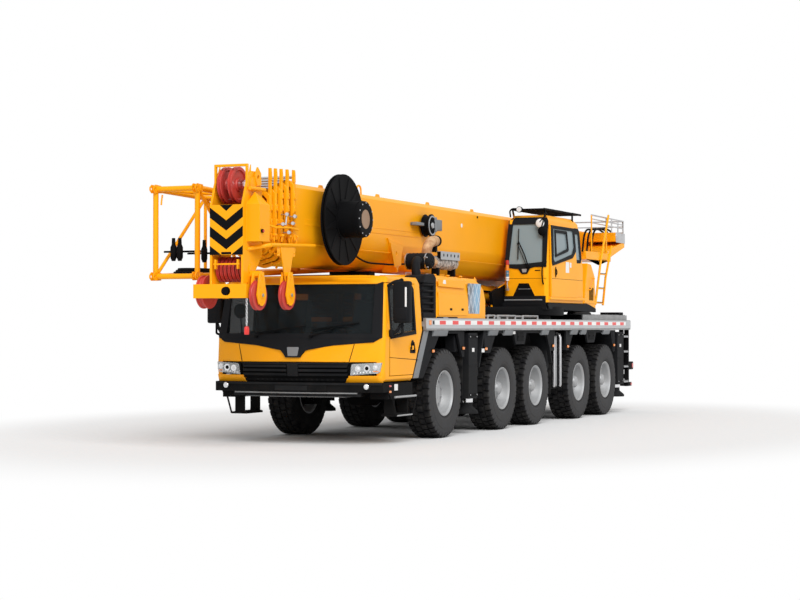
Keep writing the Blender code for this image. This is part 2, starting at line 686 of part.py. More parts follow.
# Cab interior: floor, dashboard, two seats and the steering wheel
inside = Form().box((1.32, 2.06), (-1.18, 1.18), (CAB_FLOOR + CAB_WALL + 0.012, 1.06))
inside.box((1.36, 2.00), (-0.80, 0.80), (CAB_FLOOR + CAB_WALL + SEAT, 1.03))
dash = [(1.96, 1.03), (2.05, 1.03), (2.16, 1.40), (2.12, 1.46), (1.98, 1.36)]
inside.prism(dash, "y", -1.05, 1.05)
for seat_y in (0.62, -0.62):
    inside.box((1.26, 1.70), (seat_y - 0.26, seat_y + 0.26), (1.05, 1.42))
    back = [(1.14, 1.36), (1.34, 1.36), (1.22, 2.10), (1.06, 2.10)]
    inside.prism(back, "y", seat_y - 0.24, seat_y + 0.24)
inside.bar((2.06, 0.62, 1.36), (1.90, 0.62, 1.56), 0.03)
inside.turned([(-0.012, 0.21), (0.012, 0.21)], "z", (1.90, 0.62, 1.56), 14)
node("cab_interior", inside, TRIM, carrier)

# Engine block under its hood, the air intake tower, the silencer and the tail pipe
node("engine", Form().box((-1.60, -0.10), (-0.42, 0.42), (DECK_TOP + SEAT, 2.30)), DARK, carrier)


def hood_skin(inset):
    half = CARRIER_HALF - 0.05 - inset
    rings = []
    for x, drop, narrow in (
        (HOOD_FRONT - inset, 0.06, 0.02),
        (HOOD_FRONT - 0.06 - inset, 0, 0),
        (HOOD_REAR + 0.22 + inset, 0.02, 0),
        (HOOD_REAR + 0.06 + inset, 0.10, 0),
        (HOOD_REAR + inset, 0.24, 0.03),
    ):
        top = HOOD_TOP - drop - inset
        side = half - narrow
        ring = [(x, -side, DECK_TOP + SEAT), (x, -side, 2.12), (x, -side + 0.03, top - 0.10), (x, -side + 0.14, top)]
        ring += [(x, -y, z) for x, y, z in reversed(ring)]
        rings.append(ring)
    return Form().skin(rings)


hood_core = hood_skin(HOOD_WALL)
for vertex in hood_core.shells[0].verts:
    if vertex.co.z < DECK_TOP + 0.1:
        vertex.co.z = DECK_TOP - 0.2
node("engine_hood", hood_skin(0), YELLOW, carrier, [hood_core])

TOWER_FRONT = 0.74
FILTER_X = -0.07
tower_top = [(TOWER_FRONT, DECK_TOP + SEAT), (TOWER_FRONT, 2.36), (0.66, 2.47), (0.30, 2.50)]
tower_top += [(HOOD_FRONT + 0.006, 2.44), (HOOD_FRONT + 0.006, DECK_TOP + SEAT)]
tower = Form().prism(tower_top, "y", 0.96, 1.31)
slots = Form()
for i in range(5):
    slots.box((0.34, 0.80), (1.25, 1.4), (1.92 + i * 0.10, 1.96 + i * 0.10))
filter_body = [(0.68, 0.09), (0.72, 0.125), (1.08, 0.125), (1.12, 0.09)]
tower.turned(filter_body, "y", (FILTER_X, 0, 2.71), 14)
tower.path([(0.42, 1.06, 2.40), (0.36, 1.02, 2.62), (0.20, 0.96, 2.70), (FILTER_X, 0.90, 2.71)], 0.07, 8)
tower.bar((-0.38, 1.02, 2.72), (-1.16, 1.02, 2.72), 0.10, 10)
tower.box((-1.15, -0.39), (0.94, 1.10), (2.74, 2.86))
tower.box((-0.45, -0.40), (0.96, 1.08), (2.52, 2.72))
tower.bar((-0.44, 1.02, 2.72), (FILTER_X, 0.96, 2.68), 0.06, 8)
tower.path([(-0.10, 1.00, 2.74), (-0.14, 1.00, 2.90), (-0.28, 1.01, 3.00), (-0.50, 1.02, 3.04)], 0.07, 8)
tower.box((-0.42, -0.36), (0.98, 1.06), (2.80, 2.99))
node("exhaust_and_intake", tower, DARK, carrier, [slots])

# Superstructure frame: disc on the slewing ring, side plates that carry the boom, and the raised tail
plate = [
    (-4.35, DISC_TOP - 0.04),
    (-4.30, 2.30),
    (-5.60, 2.62),
    (-7.05, 3.45),
    (-7.45, 3.62),
    (-8.20, 3.62),
    (TAIL, 3.62),
    (TAIL, HOIST_FLOOR),
    (-9.30, HOIST_FLOOR - 0.16),
    (-8.60, TAIL_FLOOR),
    (-7.40, TAIL_FLOOR - 0.06),
    (-6.65, DISC_TOP - 0.04),
]
upper = Form().turned([(RING_TOP + SEAT, DISC_RADIUS), (DISC_TOP, DISC_RADIUS)], "z", (SLEW_X, 0, 0), 28)
for side in (1, -1):
    upper.prism(plate, "y", *sorted((side * PLATE_IN, side * PLATE_OUT)))
# walkways beside the boom's foot, the hoist's cradle and the end frame
for side in (1, -1):
    upper.box((-9.00, -7.42), sorted((side * 0.48, side * 1.22)), (TAIL_FLOOR, TAIL_FLOOR + 0.05))
    upper.box((-9.00, -7.42), sorted((side * 1.17, side * 1.22)), (TAIL_FLOOR, TAIL_FLOOR + 0.16))
    cradle = [(-9.00, TAIL_FLOOR + 0.02), (-9.00, TAIL_FLOOR + 0.20), (TAIL, HOIST_FLOOR + 0.12), (TAIL, HOIST_FLOOR)]
    upper.prism(cradle, "y", *sorted((side * 0.48, side * 1.12)))
    upper.box((TAIL, TAIL + 0.60), sorted((side * 0.48, side * 1.12)), (HOIST_FLOOR + 0.10, 3.60))
upper.box((TAIL, TAIL + 0.08), (-0.48, 0.48), (HOIST_FLOOR, 3.58))
upper.box((-8.50, -8.38), (-0.48, 0.48), (TAIL_FLOOR, 3.02))
# platform under the operator's cab, and the rounded cover behind it
upper.box((-7.22, -4.82), (0.47, CABIN_OUT), (2.00, PLATFORM_TOP))
cover = [(-7.10, 2.05), (-7.06, 2.14), (-7.26, 2.90), (-7.50, 2.88), (-7.72, 2.66), (-7.78, 2.05)]
upper.prism(cover, "y", 0.48, 1.30)
# foot of the lift cylinder
for side in (1, -1):
    ear = [(-6.22, 2.0), (-5.78, 2.0), (-5.88, 2.40), (-6.12, 2.40)]
    upper.prism(ear, "y", *sorted((side * (EYE_HALF + SEAT), side * 0.21)))
# tank and cooler housing on the right
upper.prism([(-5.30, 2.10), (-5.30, 2.55), (-5.45, 2.70), (-7.60, 2.70), (-7.60, 2.10)], "y", -1.28, -0.48)
# ladder up to the left walkway, and the rails round the walkways
LADDER_Y = 1.245
ladder = [(-7.93, LADDER_Y, 2.12), (-8.30, LADDER_Y, 3.00), (-8.86, LADDER_Y - 0.02, RAIL_TOP + 0.05)]
upper.path(ladder, 0.024)
upper.path([(-8.42, LADDER_Y, 2.12), (-8.60, LADDER_Y, 2.66), (-9.06, LADDER_Y - 0.02, 3.30)], 0.024)
for z in (2.16, 2.44, 2.72):
    lean = -0.42 * (z - 2.12)
    upper.bar((-7.93 + lean, LADDER_Y, z), (-8.42 + lean * 0.8, LADDER_Y, z), 0.016, 4)
for side in (1, -1):
    rail = [(-7.84, side * 1.20, 3.0), (-7.84, side * 1.20, RAIL_TOP), (TAIL + 0.03, side * 1.10, RAIL_TOP)]
    upper.path([*rail, (TAIL + 0.03, side * 1.10, 3.55)], 0.018, 4)
    upper.bar((-8.86, side * 1.18, 3.02), (-8.86, side * 1.18, RAIL_TOP), 0.018, 4)
upper.bar((TAIL + 0.03, -1.10, RAIL_TOP), (TAIL + 0.03, 1.10, RAIL_TOP), 0.018, 4)
WINCH = (-9.10, 3.38)
WINCH_RADIUS = 0.20
node("superstructure_frame", upper, YELLOW, superstructure)

winding = body("hoist_winch", superstructure, (WINCH[0], 0, WINCH[1]))
spool = PLATE_IN - SEAT
winch_profile = [
    (-spool, 0.10),
    (-spool + 0.03, 0.10),
    (-spool + 0.03, WINCH_RADIUS),
    (-spool + 0.06, WINCH_RADIUS),
    (-spool + 0.06, 0.15),
    (spool - 0.06, 0.15),
    (spool - 0.06, WINCH_RADIUS),
    (spool - 0.03, WINCH_RADIUS),
    (spool - 0.03, 0.10),
    (spool, 0.10),
]
node("hoist_winch", Form().turned(winch_profile, "y", (WINCH[0], 0, WINCH[1]), 16), YELLOW, winding)


# Operator's cab: a hollow shell that tilts back about its rear sill, with its screen and its door
def cabin_skin(inset):
    rings = []
    for z, front, rear, inner, outer in (
        (CABIN_FLOOR + SEAT - 0.01, CABIN_FRONT, CABIN_REAR, CABIN_IN, CABIN_OUT),
        (CABIN_WAIST, CABIN_FRONT, CABIN_REAR, CABIN_IN, CABIN_OUT),
        (CABIN_ROOF - 0.10, CABIN_FRONT - 0.20, CABIN_REAR + 0.10, CABIN_IN + 0.02, CABIN_OUT - 0.07),
        (CABIN_ROOF, CABIN_FRONT - 0.30, CABIN_REAR + 0.20, CABIN_IN + 0.08, CABIN_OUT - 0.15),
    ):
        x0, x1, y0, y1 = rear + inset, front - inset, inner + inset, outer - inset
        cut = 0.05
        ring = [(x0 + cut, y0), (x1 - cut, y0), (x1, y0 + cut), (x1, y1 - cut), (x1 - cut, y1), (x0 + cut, y1)]
        ring += [(x0, y1 - cut), (x0, y0 + cut)]
        z += inset if z < CABIN_WAIST else -inset if z == CABIN_ROOF else 0
        rings.append([(x, y, z) for x, y in ring])
    return Form().skin(rings)


def cabin_door_space(lap):
    """The doorway, made larger all round by how far the sliding door laps over its edges."""
    outline = [
        (CABIN_DOOR_REAR - lap, 2.26 - lap),
        (CABIN_DOOR_FRONT + lap, 2.26 - lap),
        (CABIN_DOOR_FRONT + lap, CABIN_WAIST),
        (CABIN_DOOR_FRONT - 0.12 + lap, 3.50 + lap),
        (CABIN_DOOR_REAR - lap, 3.50 + lap),
    ]
    return Form().prism(outline, "y", CABIN_OUT - 0.16, CABIN_OUT + 0.08)


def cabin_door_window():
    outline = [(-6.36, 3.16), (-6.22, 3.02), (-5.16, 2.84), (-5.10, 2.90), (-5.22, 3.47), (-6.36, 3.47)]
    return Form().prism(outline, "y", CABIN_OUT - 0.4, CABIN_OUT + 0.2)


def cabin_screen_space(gap):
    y0, y1 = CABIN_IN + 0.06 + gap, CABIN_OUT - 0.07 - gap
    outline = [(y0, 2.76 + gap), (y1, 2.76 + gap), (y1 - 0.05, 3.57 - gap), (y0 + 0.02, 3.57 - gap)]
    return Form().prism(outline, "x", CABIN_FRONT - 0.5, CABIN_FRONT + 0.1)


tilting = body("operator_cab", superstructure, (CABIN_PIVOT[0], 0, CABIN_PIVOT[1]))
cabin_cuts = [
    cabin_skin(CABIN_WALL),
    cabin_door_space(0),
    cabin_screen_space(0),
    Form().box((-6.80, -6.52), (CABIN_OUT - 0.2, CABIN_OUT + 0.2), (2.92, 3.44)),
    Form().box((-6.60, -5.20), (CABIN_IN - 0.1, CABIN_IN + 0.2), (2.80, 3.44)),
    Form().box((CABIN_REAR - 0.1, CABIN_REAR + 0.2), (0.66, 1.14), (2.90, 3.42)),
]
cabin = node("operator_cab", cabin_skin(0), YELLOW, tilting, cabin_cuts)
# runner below the sliding door
guard = Form().box((-6.90, -4.93), (CABIN_OUT - 0.02, CABIN_OUT + 0.04), (2.18, 2.23 - SLIDE))
for y in (0.62, 1.22):
    guard.bar((-5.12, y, CABIN_ROOF - 0.06), (-5.02, y, CABIN_ROOF + 0.10), 0.02)
    guard.bar((-6.60, y, CABIN_ROOF - 0.06), (-6.60, y, CABIN_ROOF + 0.10), 0.02)
    guard.bar((-5.0, y, CABIN_ROOF + 0.10), (-7.10, y, CABIN_ROOF + 0.10), 0.02)
for i in range(5):
    x = -5.02 - 0.51 * i
    guard.bar((x, 0.60, CABIN_ROOF + 0.10), (x, 1.24, CABIN_ROOF + 0.10), 0.018, 4)
combine(cabin, "UNION", helper("operator_cab.guard", guard.shells, tilting), True)
# seat and console, on one foot plate
inside_floor = CABIN_FLOOR - 0.01 + CABIN_WALL + 2 * SEAT
seat = Form().box((-6.50, -5.95), (0.66, 1.12), (inside_floor, 2.62))
seat.prism([(-6.56, 2.55), (-6.36, 2.55), (-6.46, 3.30), (-6.62, 3.30)], "y", 0.66, 1.12)
seat.box((-5.20, -5.02), (0.70, 1.05), (inside_floor, 2.66))
seat.box((-6.40, -5.04), (0.70, 1.05), (inside_floor, inside_floor + 0.02))
node("operator_seat", seat, TRIM, tilting)
node("operator_windscreen", cabin_skin(0.010), GLASS, tilting, [cabin_skin(0.030)], cabin_screen_space(SEAT))
opening = body("operator_door", tilting, (CABIN_DOOR_REAR, CABIN_OUT + 0.012, 2.8))
door_skin = cabin_skin(-RUNNING - 0.032)
door = node("operator_door", door_skin, YELLOW, opening, [cabin_skin(-RUNNING)], cabin_door_space(0.03))
combine(door, "DIFFERENCE", helper("operator_door.window", cabin_door_window().shells, opening), False)


# Boom: a hollow base section and five that slide out of it, each round below with a collar at its front
def boom_ring(x, half, half_height, inset=0.0):
    """The boom's cross section at a station: flat top, straight sides and a round belly."""
    half, top, bottom = half - inset, BOOM_AXIS_Z + half_height - inset, BOOM_AXIS_Z - half_height + inset
    corner = 0.06
    ring = [(half, top - corner), (half - corner, top)]
    ring += [(-y, z) for y, z in reversed(ring)]
    belly = half * 0.95
    ring.append((-half, bottom + belly))
    for i in range(1, 6):
        turn = math.pi * i / 6
        ring.append((-half * math.cos(turn), bottom + belly - belly * math.sin(turn)))
    ring.append((half, bottom + belly))
    return [(x, y, z) for y, z in ring]


def boom_tube(rear, front, half, half_height, inset=0.0):
    return Form().skin([boom_ring(rear, half, half_height, inset), boom_ring(front, half, half_height, inset)])


def collar(form, front, half, half_height):
    """A section's front collar, with a rope guide's fin on each side."""
    wide, tall = half + COLLAR_WALL, half_height + COLLAR_WALL
    form.shells += boom_tube(front - COLLAR_LENGTH, front, wide, tall).shells
    for side in (1, -1):
        fin = [(front - COLLAR_LENGTH + 0.004, BOOM_AXIS_Z + 0.15), (front - 0.004, BOOM_AXIS_Z + 0.15)]
        fin += [(front - 0.012, FIN_TOP), (front - COLLAR_LENGTH + 0.012, FIN_TOP)]
        form.prism(fin, "y", *sorted((side * (wide - 0.03), side * (wide + 0.004))))


riding = boom
for i, (name, half, half_height, front) in enumerate(SECTIONS):
    rear = BOOM_REAR + i * SECTION_SETBACK
    if i:
        riding = body(name, riding, (front, 0, BOOM_AXIS_Z))
    tube_front = front + 0.05 if i == 5 else front
    section = boom_tube(rear, tube_front, half, half_height)
    bore = boom_tube(rear - 0.1, tube_front + 0.1, half, half_height, BOOM_WALL)
    cuts = [bore]
    if i:
        # wear shoes at the rear end ride inside the section around it
        around = SECTIONS[i - 1]
        section.shells += boom_tube(
            rear, rear + 0.12, around[1] - BOOM_WALL, around[2] - BOOM_WALL, SLIDE
        ).shells
    if i < 5:
        collar(section, front, half, half_height)
    if i == 0:
        for side in (1, -1):
            boss = sorted((side * (half - 0.005), side * (PLATE_IN - SEAT)))
            section.turned([(y, 0.17) for y in boss], "y", (PIVOT[0], 0, PIVOT[1]), 14)
            lug = [(-2.85, 2.70), (-2.35, 2.70), (-2.44, 2.30), (-2.60, 2.24), (-2.76, 2.30)]
            section.prism(lug, "y", *sorted((side * (EYE_HALF + SEAT), side * (EYE_HALF + 0.05))))
        section.box((REEL[0] - 0.10, REEL[0] + 0.10), (0.40, REEL_IN - SEAT), (REEL[1] - 0.10, REEL[1] + 0.10))
        gusset = [(0.13, 3.07), (-0.48, 2.98), (-0.24, 2.54)]
        section.prism(gusset, "y", 0.20, 0.46)
        # carriers of the folded jib
        for x, low, high in ((1.30, 2.70, 3.55), (-3.60, 2.82, 3.40)):
            section.box((x - 0.06, x + 0.06), (-0.49, -0.40), (low, high))
    if i == 5:
        head = section
        x0 = front
        cheek = [
            (x0, 2.66),
            (x0, 3.50),
            (x0 + 0.08, 3.72),
            (x0 + 0.16, 3.80),
            (UPPER_SHEAVE[0] + 0.06, 3.80),
            (UPPER_SHEAVE[0] + 0.15, 3.70),
            (HEAD_FRONT - 0.03, 3.42),
            (HEAD_FRONT, 3.34),
            (HEAD_FRONT, HEAD_BOTTOM),
            (x0 + 0.05, HEAD_BOTTOM),
            (x0 + 0.05, HEAD_BOTTOM + 0.08),
            (x0 + 0.24, 2.40),
        ]
        for side in (1, -1):
            plates = sorted((side * (HEAD_HALF - HEAD_PLATE), side * HEAD_HALF))
            head.prism(cheek, "y", *plates)
            head.box((4.29, 4.33), plates, (3.40, HEAD_TOP))
        head.box((4.29, 4.33), (-HEAD_HALF, HEAD_HALF), (HEAD_TOP - 0.035, HEAD_TOP))
        head.box((HEAD_FRONT - 0.03, HEAD_FRONT), (-HEAD_HALF, HEAD_HALF), (2.66, 3.335))
        head.box((x0, x0 + 0.06), (-HEAD_HALF, HEAD_HALF), (2.68, 3.44))
        head.box((HEAD_FRONT - 0.10, HEAD_FRONT), (-0.51, 0.30), (HEAD_BOTTOM, HEAD_BOTTOM + 0.19))
        cuts = [
            boom_tube(rear - 0.1, x0 + 0.2, half, half_height, BOOM_WALL),
            Form().turned([(4.2, 0.06), (4.6, 0.06)], "x", (0, 0, HEAD_BOTTOM + 0.095), 10),
        ]
        # side sheave on the right, in a fork of the cross member
        x, y, z, radius = SIDE_SHEAVE
        head.turned([(y - 0.05, radius), (y, radius - 0.03), (y + 0.05, radius)], "y", (x, 0, z), 16)
        head.turned([(y - 0.08, 0.05), (-HEAD_HALF + 0.01, 0.05)], "y", (x, 0, z), 8)
        # lamp housing on the left cheek
        lamp = [[(x, y, 2.84) for x, y in ((4.05, 0.24), (4.35, 0.24), (4.35, 0.45), (4.05, 0.45))]]
        lamp.append([(x, y, 3.34) for x, y, _ in lamp[0]])
        head.skin([*lamp, [(4.20, 0.30, 3.52)]])
        # rail along the left side, with two sheave blocks that hang from it and from the cheek
        rail_y = BLOCKS[1][1]
        head.path([(4.30, HEAD_HALF - 0.02, 2.74), (4.10, rail_y, 2.80), (2.78, rail_y, 2.84)], 0.03)
        hanger = [(3.42, 2.80), (3.84, 2.80), (3.66, 2.30), (3.58, 2.30)]
        head.prism(hanger, "y", rail_y - 0.01, rail_y + 0.01)
        head.turned([(HEAD_HALF - 0.01, 0.05), (BLOCKS[0][1] + 0.05, 0.05)], "y", (BLOCKS[0][0], 0, 2.40), 8)
        for x, y, z in BLOCKS:
            wide, high = BLOCK_RADIUS * 0.62, z + 0.31
            pear = [(x - 0.05, high), (x + 0.05, high), (x + wide, z), (x + wide * 0.6, z - wide)]
            pear += [(x - wide * 0.6, z - wide), (x - wide, z)]
            for dy in (-0.045, 0.045):
                head.prism(pear, "y", y + dy - 0.01, y + dy + 0.01)
            head.turned([(y - 0.05, 0.05), (y + 0.05, 0.05)], "y", (x, 0, z), 8)
            head.turned([(y - 0.025, BLOCK_RADIUS), (y, BLOCK_RADIUS - 0.02), (y + 0.025, BLOCK_RADIUS)], "y", (x, 0, z), 14)
            head.box((x - 0.05, x + 0.05), (y - 0.05, y + 0.05), (high - 0.05, high))
    node(name, section, YELLOW, riding, cuts)

# Length sensor on the boom's left side: a spool, with its arm and box
sensor_base = SECTIONS[0][1] + SEAT
sensor = Form().box((-1.74, -0.79), (sensor_base, 0.47), (3.31, 3.37))
sensor.turned([(0.46, 0.185), (0.50, 0.16), (0.60, 0.185)], "y", (-1.32, 0, 3.33), 14)
sensor.box((-1.74, -1.42), (sensor_base, 0.60), (3.26, 3.44))
node("length_sensor", sensor, DARK, boom)

# Rope sheaves of the boom head: banks that turn on their pins
head_inside = HEAD_HALF - HEAD_PLATE - SEAT


def sheave_bank(centre, places, thick):
    x, z, radius = centre
    form = Form().turned([(-head_inside, 0.05), (head_inside, 0.05)], "y", (x, 0, z), 8)
    for y in places:
        groove = [(y - thick, radius), (y, radius - 0.03), (y + thick, radius)]
        form.turned(groove, "y", (x, 0, z), 12)
    return form


for name, centre, places, thick in (
    ("head_sheaves_upper", UPPER_SHEAVE, (-0.14, 0.02), 0.03),
    ("head_sheaves_lower", LOWER_SHEAVE, [-0.18 + 0.06 * i for i in range(7)], 0.018),
):
    turning = body(name, riding, (centre[0], 0, centre[1]))
    node(name, sheave_bank(centre, places, thick), RED, turning)

# Cable reel on the boom's left side
reeling = body("cable_reel", boom, (REEL[0], REEL_IN, REEL[1]))
reel_profile = [
    (REEL_IN, REEL_RADIUS),
    (REEL_IN + 0.025, REEL_RADIUS),
    (REEL_IN + 0.025, REEL_RADIUS - 0.10),
    (REEL_IN + 0.05, REEL_RADIUS - 0.10),
    (REEL_IN + 0.05, REEL_RADIUS),
    (REEL_IN + 0.075, REEL_RADIUS),
    (REEL_IN + 0.075, REEL_HUB),
    (REEL_OUT, REEL_HUB),
    (REEL_OUT, 0),
]
reel = Form().turned([(REEL_IN, 0), *reel_profile], "y", (REEL[0], 0, REEL[1]), 24)
node("cable_reel", reel, DARK, reeling)


# Folding jib: a tapered lattice of four chords, carried along the base section
def jib_corner(share, right, top):
    """A chord's place at a share of the jib's length, from its wide foot to its narrow tip."""
    foot = (JIB_FRONT, -1.28 if right else -0.62, 3.60 if top else 2.39)
    tip = (JIB_REAR, -1.02 if right else -0.60, 3.36 if top else 2.84)
    return tuple(a + (b - a) * share for a, b in zip(foot, tip))


jib = Form()
CHORD = 0.042
LACING = 0.024
BAYS = 7
corners = [(False, False), (False, True), (True, True), (True, False)]
for right, top in corners:
    jib.bar(jib_corner(0, right, top), jib_corner(1, right, top), CHORD)
for bay in range(BAYS + 1):
    share = bay / BAYS
    for near, far in zip(corners, corners[1:] + corners[:1]):
        size = CHORD if bay in (0, BAYS) else LACING
        jib.bar(jib_corner(share, *near), jib_corner(share, *far), size, 4)
        if bay < BAYS:
            lace = (near, far) if bay % 2 else (far, near)
            jib.bar(jib_corner(share, *lace[0]), jib_corner((bay + 1) / BAYS, *lace[1]), LACING, 4)
for right, top in corners:
    x, y, z = jib_corner(0, right, top)
    jib.box((x - 0.06, x + 0.12), (y - 0.05, y + 0.05), (z - 0.06, z + 0.06))
for x in (1.30, -3.60):
    share = (JIB_FRONT - x) / (JIB_FRONT - JIB_REAR)
    low, high = jib_corner(share, False, False), jib_corner(share, False, True)
    jib.box((x - 0.05, x + 0.05), (low[1] - 0.02, -0.49 - SEAT), (low[2], high[2]))
node("folding_jib", jib, YELLOW, boom)

# Lift cylinder, opened at the rod's eye
foot = Vector((CYLINDER_FOOT[0], 0, CYLINDER_FOOT[1]))
eye = Vector((CYLINDER_EYE[0], 0, CYLINDER_EYE[1]))
along = (eye - foot).normalized()
closed = (eye - foot).length
raising = body("lift_barrel", superstructure, foot)
pushing = body("lift_rod", raising, foot + along * closed)
barrel = Form().bar(foot + along * 0.27, foot + along * (closed - 0.56), BARREL_RADIUS, 12)
barrel.bar(foot, foot + along * 0.32, EYE_HALF - 0.01, 12)
barrel.turned([(-EYE_HALF, 0.17), (EYE_HALF, 0.17)], "y", foot, 12)
barrel_bore = Form().bar(foot + along * 0.24, foot + along * closed, ROD_RADIUS + SLIDE, 12)
node("lift_barrel", barrel, YELLOW, raising, [barrel_bore])
rod = Form().bar(foot + along * 0.30, eye - along * 0.05, ROD_RADIUS, 12)
rod.turned([(-EYE_HALF, 0.125), (EYE_HALF, 0.125)], "y", eye, 12)
node("lift_rod", rod, ALLOY, pushing)
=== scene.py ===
import json
import math

import bmesh
import bpy
from mathutils import Matrix, Vector

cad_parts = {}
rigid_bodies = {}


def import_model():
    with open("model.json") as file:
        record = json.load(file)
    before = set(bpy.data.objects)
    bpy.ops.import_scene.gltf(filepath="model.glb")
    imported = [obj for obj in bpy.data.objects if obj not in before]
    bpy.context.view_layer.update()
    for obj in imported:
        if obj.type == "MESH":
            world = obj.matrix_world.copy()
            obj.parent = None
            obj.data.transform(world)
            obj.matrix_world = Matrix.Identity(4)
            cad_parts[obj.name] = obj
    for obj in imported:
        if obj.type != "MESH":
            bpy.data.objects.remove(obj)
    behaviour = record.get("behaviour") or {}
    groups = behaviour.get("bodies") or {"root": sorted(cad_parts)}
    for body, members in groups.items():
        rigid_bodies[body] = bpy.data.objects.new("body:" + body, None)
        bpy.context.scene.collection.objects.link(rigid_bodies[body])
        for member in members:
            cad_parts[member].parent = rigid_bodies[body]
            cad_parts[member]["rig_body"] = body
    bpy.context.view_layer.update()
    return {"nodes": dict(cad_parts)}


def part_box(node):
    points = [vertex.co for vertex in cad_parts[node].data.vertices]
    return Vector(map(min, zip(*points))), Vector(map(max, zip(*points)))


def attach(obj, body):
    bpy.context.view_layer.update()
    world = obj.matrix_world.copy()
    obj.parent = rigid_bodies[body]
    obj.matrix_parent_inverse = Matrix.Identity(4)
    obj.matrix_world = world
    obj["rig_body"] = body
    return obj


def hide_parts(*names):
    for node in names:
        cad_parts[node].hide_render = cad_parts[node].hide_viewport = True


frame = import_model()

# Studio: a pale floor that keeps the crane's shadow and fades to white, soft daylight from the front left,
# and the camera at the left front corner, low, with a long lens. Stations are measured from the front axle.
FRONT_AXLE = sum(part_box("wheel_1_left"), Vector()).x / 2
CAMERA_PLACE = (26.406, 12.111, 1.688)
CAMERA_YAW = 23.547
CAMERA_RISE = 0.842
LENS = 83.79
FLOOR_SIZE = 400
SHADOW_REACH = (8.5, 13.0)
SHADOW_NARROWING = 2.2
DAYLIGHT = (1.0, 1.0, 1.0)
DAYLIGHT_LEVEL = 0.52
SUN_LEVEL = 2.8
SUN_WIDTH = 45
SUN_FROM = (0.72, 0.60, 0.78)


class Signal:
    """A shader socket that takes part in sums; each sum adds its Math node."""

    def __init__(self, finish, socket):
        self.finish = finish
        self.socket = socket

    def _sum(self, operation, first, second):
        return self.finish.maths(operation, first, second)

    def __add__(self, other):
        return self._sum("ADD", self, other)

    def __radd__(self, other):
        return self._sum("ADD", other, self)

    def __sub__(self, other):
        return self._sum("SUBTRACT", self, other)

    def __rsub__(self, other):
        return self._sum("SUBTRACT", other, self)

    def __mul__(self, other):
        return self._sum("MULTIPLY", self, other)

    def __rmul__(self, other):
        return self._sum("MULTIPLY", other, self)

    def __truediv__(self, other):
        return self._sum("DIVIDE", self, other)

    def __mod__(self, other):
        return self._sum("FLOORED_MODULO", self, other)

    def __lt__(self, other):
        return self._sum("LESS_THAN", self, other)

    def __abs__(self):
        return self._sum("ABSOLUTE", self, 0.0)


class Nodes:
    """A node tree to which nodes are added one after the other."""

    def __init__(self, tree):
        self.tree = tree

    def node(self, kind, settings=None, sockets=None, output=0):
        made = self.tree.nodes.new(kind)
        for name, value in (settings or {}).items():
            if name == "stops":
                ramp = made.color_ramp.elements
                while len(ramp) < len(value):
                    ramp.new(0.5)
                for stop, (place, colour) in zip(ramp, value):
                    stop.position = place
                    stop.color = (*colour, 1)
            else:
                setattr(made, name, value)
        for name, value in (sockets or {}).items():
            self.feed(made.inputs[name], value)
        return Signal(self, made.outputs[output]) if made.outputs else None

    def maths(self, operation, first, second=0.0):
        return self.node("ShaderNodeMath", {"operation": operation}, {0: first, 1: second})

    def feed(self, socket, value):
        if isinstance(value, Signal):
            self.tree.links.new(value.socket, socket)
        elif isinstance(value, tuple) and len(value) == 3 and socket.type == "RGBA":
            socket.default_value = (*value, 1)
        else:
            socket.default_value = value

    def place(self):
        """Object coordinates as three signals."""
        held = self.node("ShaderNodeTexCoord", output=3)
        return [self.node("ShaderNodeSeparateXYZ", None, {0: held}, i) for i in range(3)]

    def noise(self, scale, detail=3.0, roughness=0.5, stretch=(1, 1, 1)):
        held = self.node("ShaderNodeTexCoord", output=3)
        moved = self.node("ShaderNodeMapping", None, {"Vector": held, "Scale": stretch})
        return self.node(
            "ShaderNodeTexNoise", None, {"Vector": moved, "Scale": scale, "Detail": detail, "Roughness": roughness}
        )

    def ramp(self, signal, low, high):
        """0 below low, 1 above high, and smooth between them."""
        return self.node(
            "ShaderNodeMapRange",
            {"interpolation_type": "SMOOTHSTEP"},
            {"Value": signal, "From Min": low, "From Max": high},
        )

    def blend(self, share, first, second):
        """A colour between two, or two signals."""
        return self.node("ShaderNodeMix", {"data_type": "RGBA"}, {0: share, 6: first, 7: second}, 2)


world = bpy.data.worlds.new("studio")
bpy.context.scene.world = world
world.use_nodes = True
world.node_tree.nodes.clear()
sky = Nodes(world.node_tree)


def seen_directly(nodes):
    """1 for rays from the camera, from a glossy surface and through glass."""
    camera_ray = nodes.node("ShaderNodeLightPath", output="Is Camera Ray")
    glossy_ray = nodes.node("ShaderNodeLightPath", output="Is Glossy Ray")
    glass_ray = nodes.node("ShaderNodeLightPath", output="Is Transmission Ray")
    return nodes.maths("MAXIMUM", nodes.maths("MAXIMUM", camera_ray, glossy_ray), glass_ray)


white_share = seen_directly(sky)
white_sky = sky.node("ShaderNodeBackground", None, {"Color": (1, 1, 1), "Strength": 1.0})
soft_sky = sky.node("ShaderNodeBackground", None, {"Color": DAYLIGHT, "Strength": DAYLIGHT_LEVEL})
both_skies = sky.node("ShaderNodeMixShader", None, {0: white_share, 1: soft_sky, 2: white_sky})
sky.node("ShaderNodeOutputWorld", None, {"Surface": both_skies})

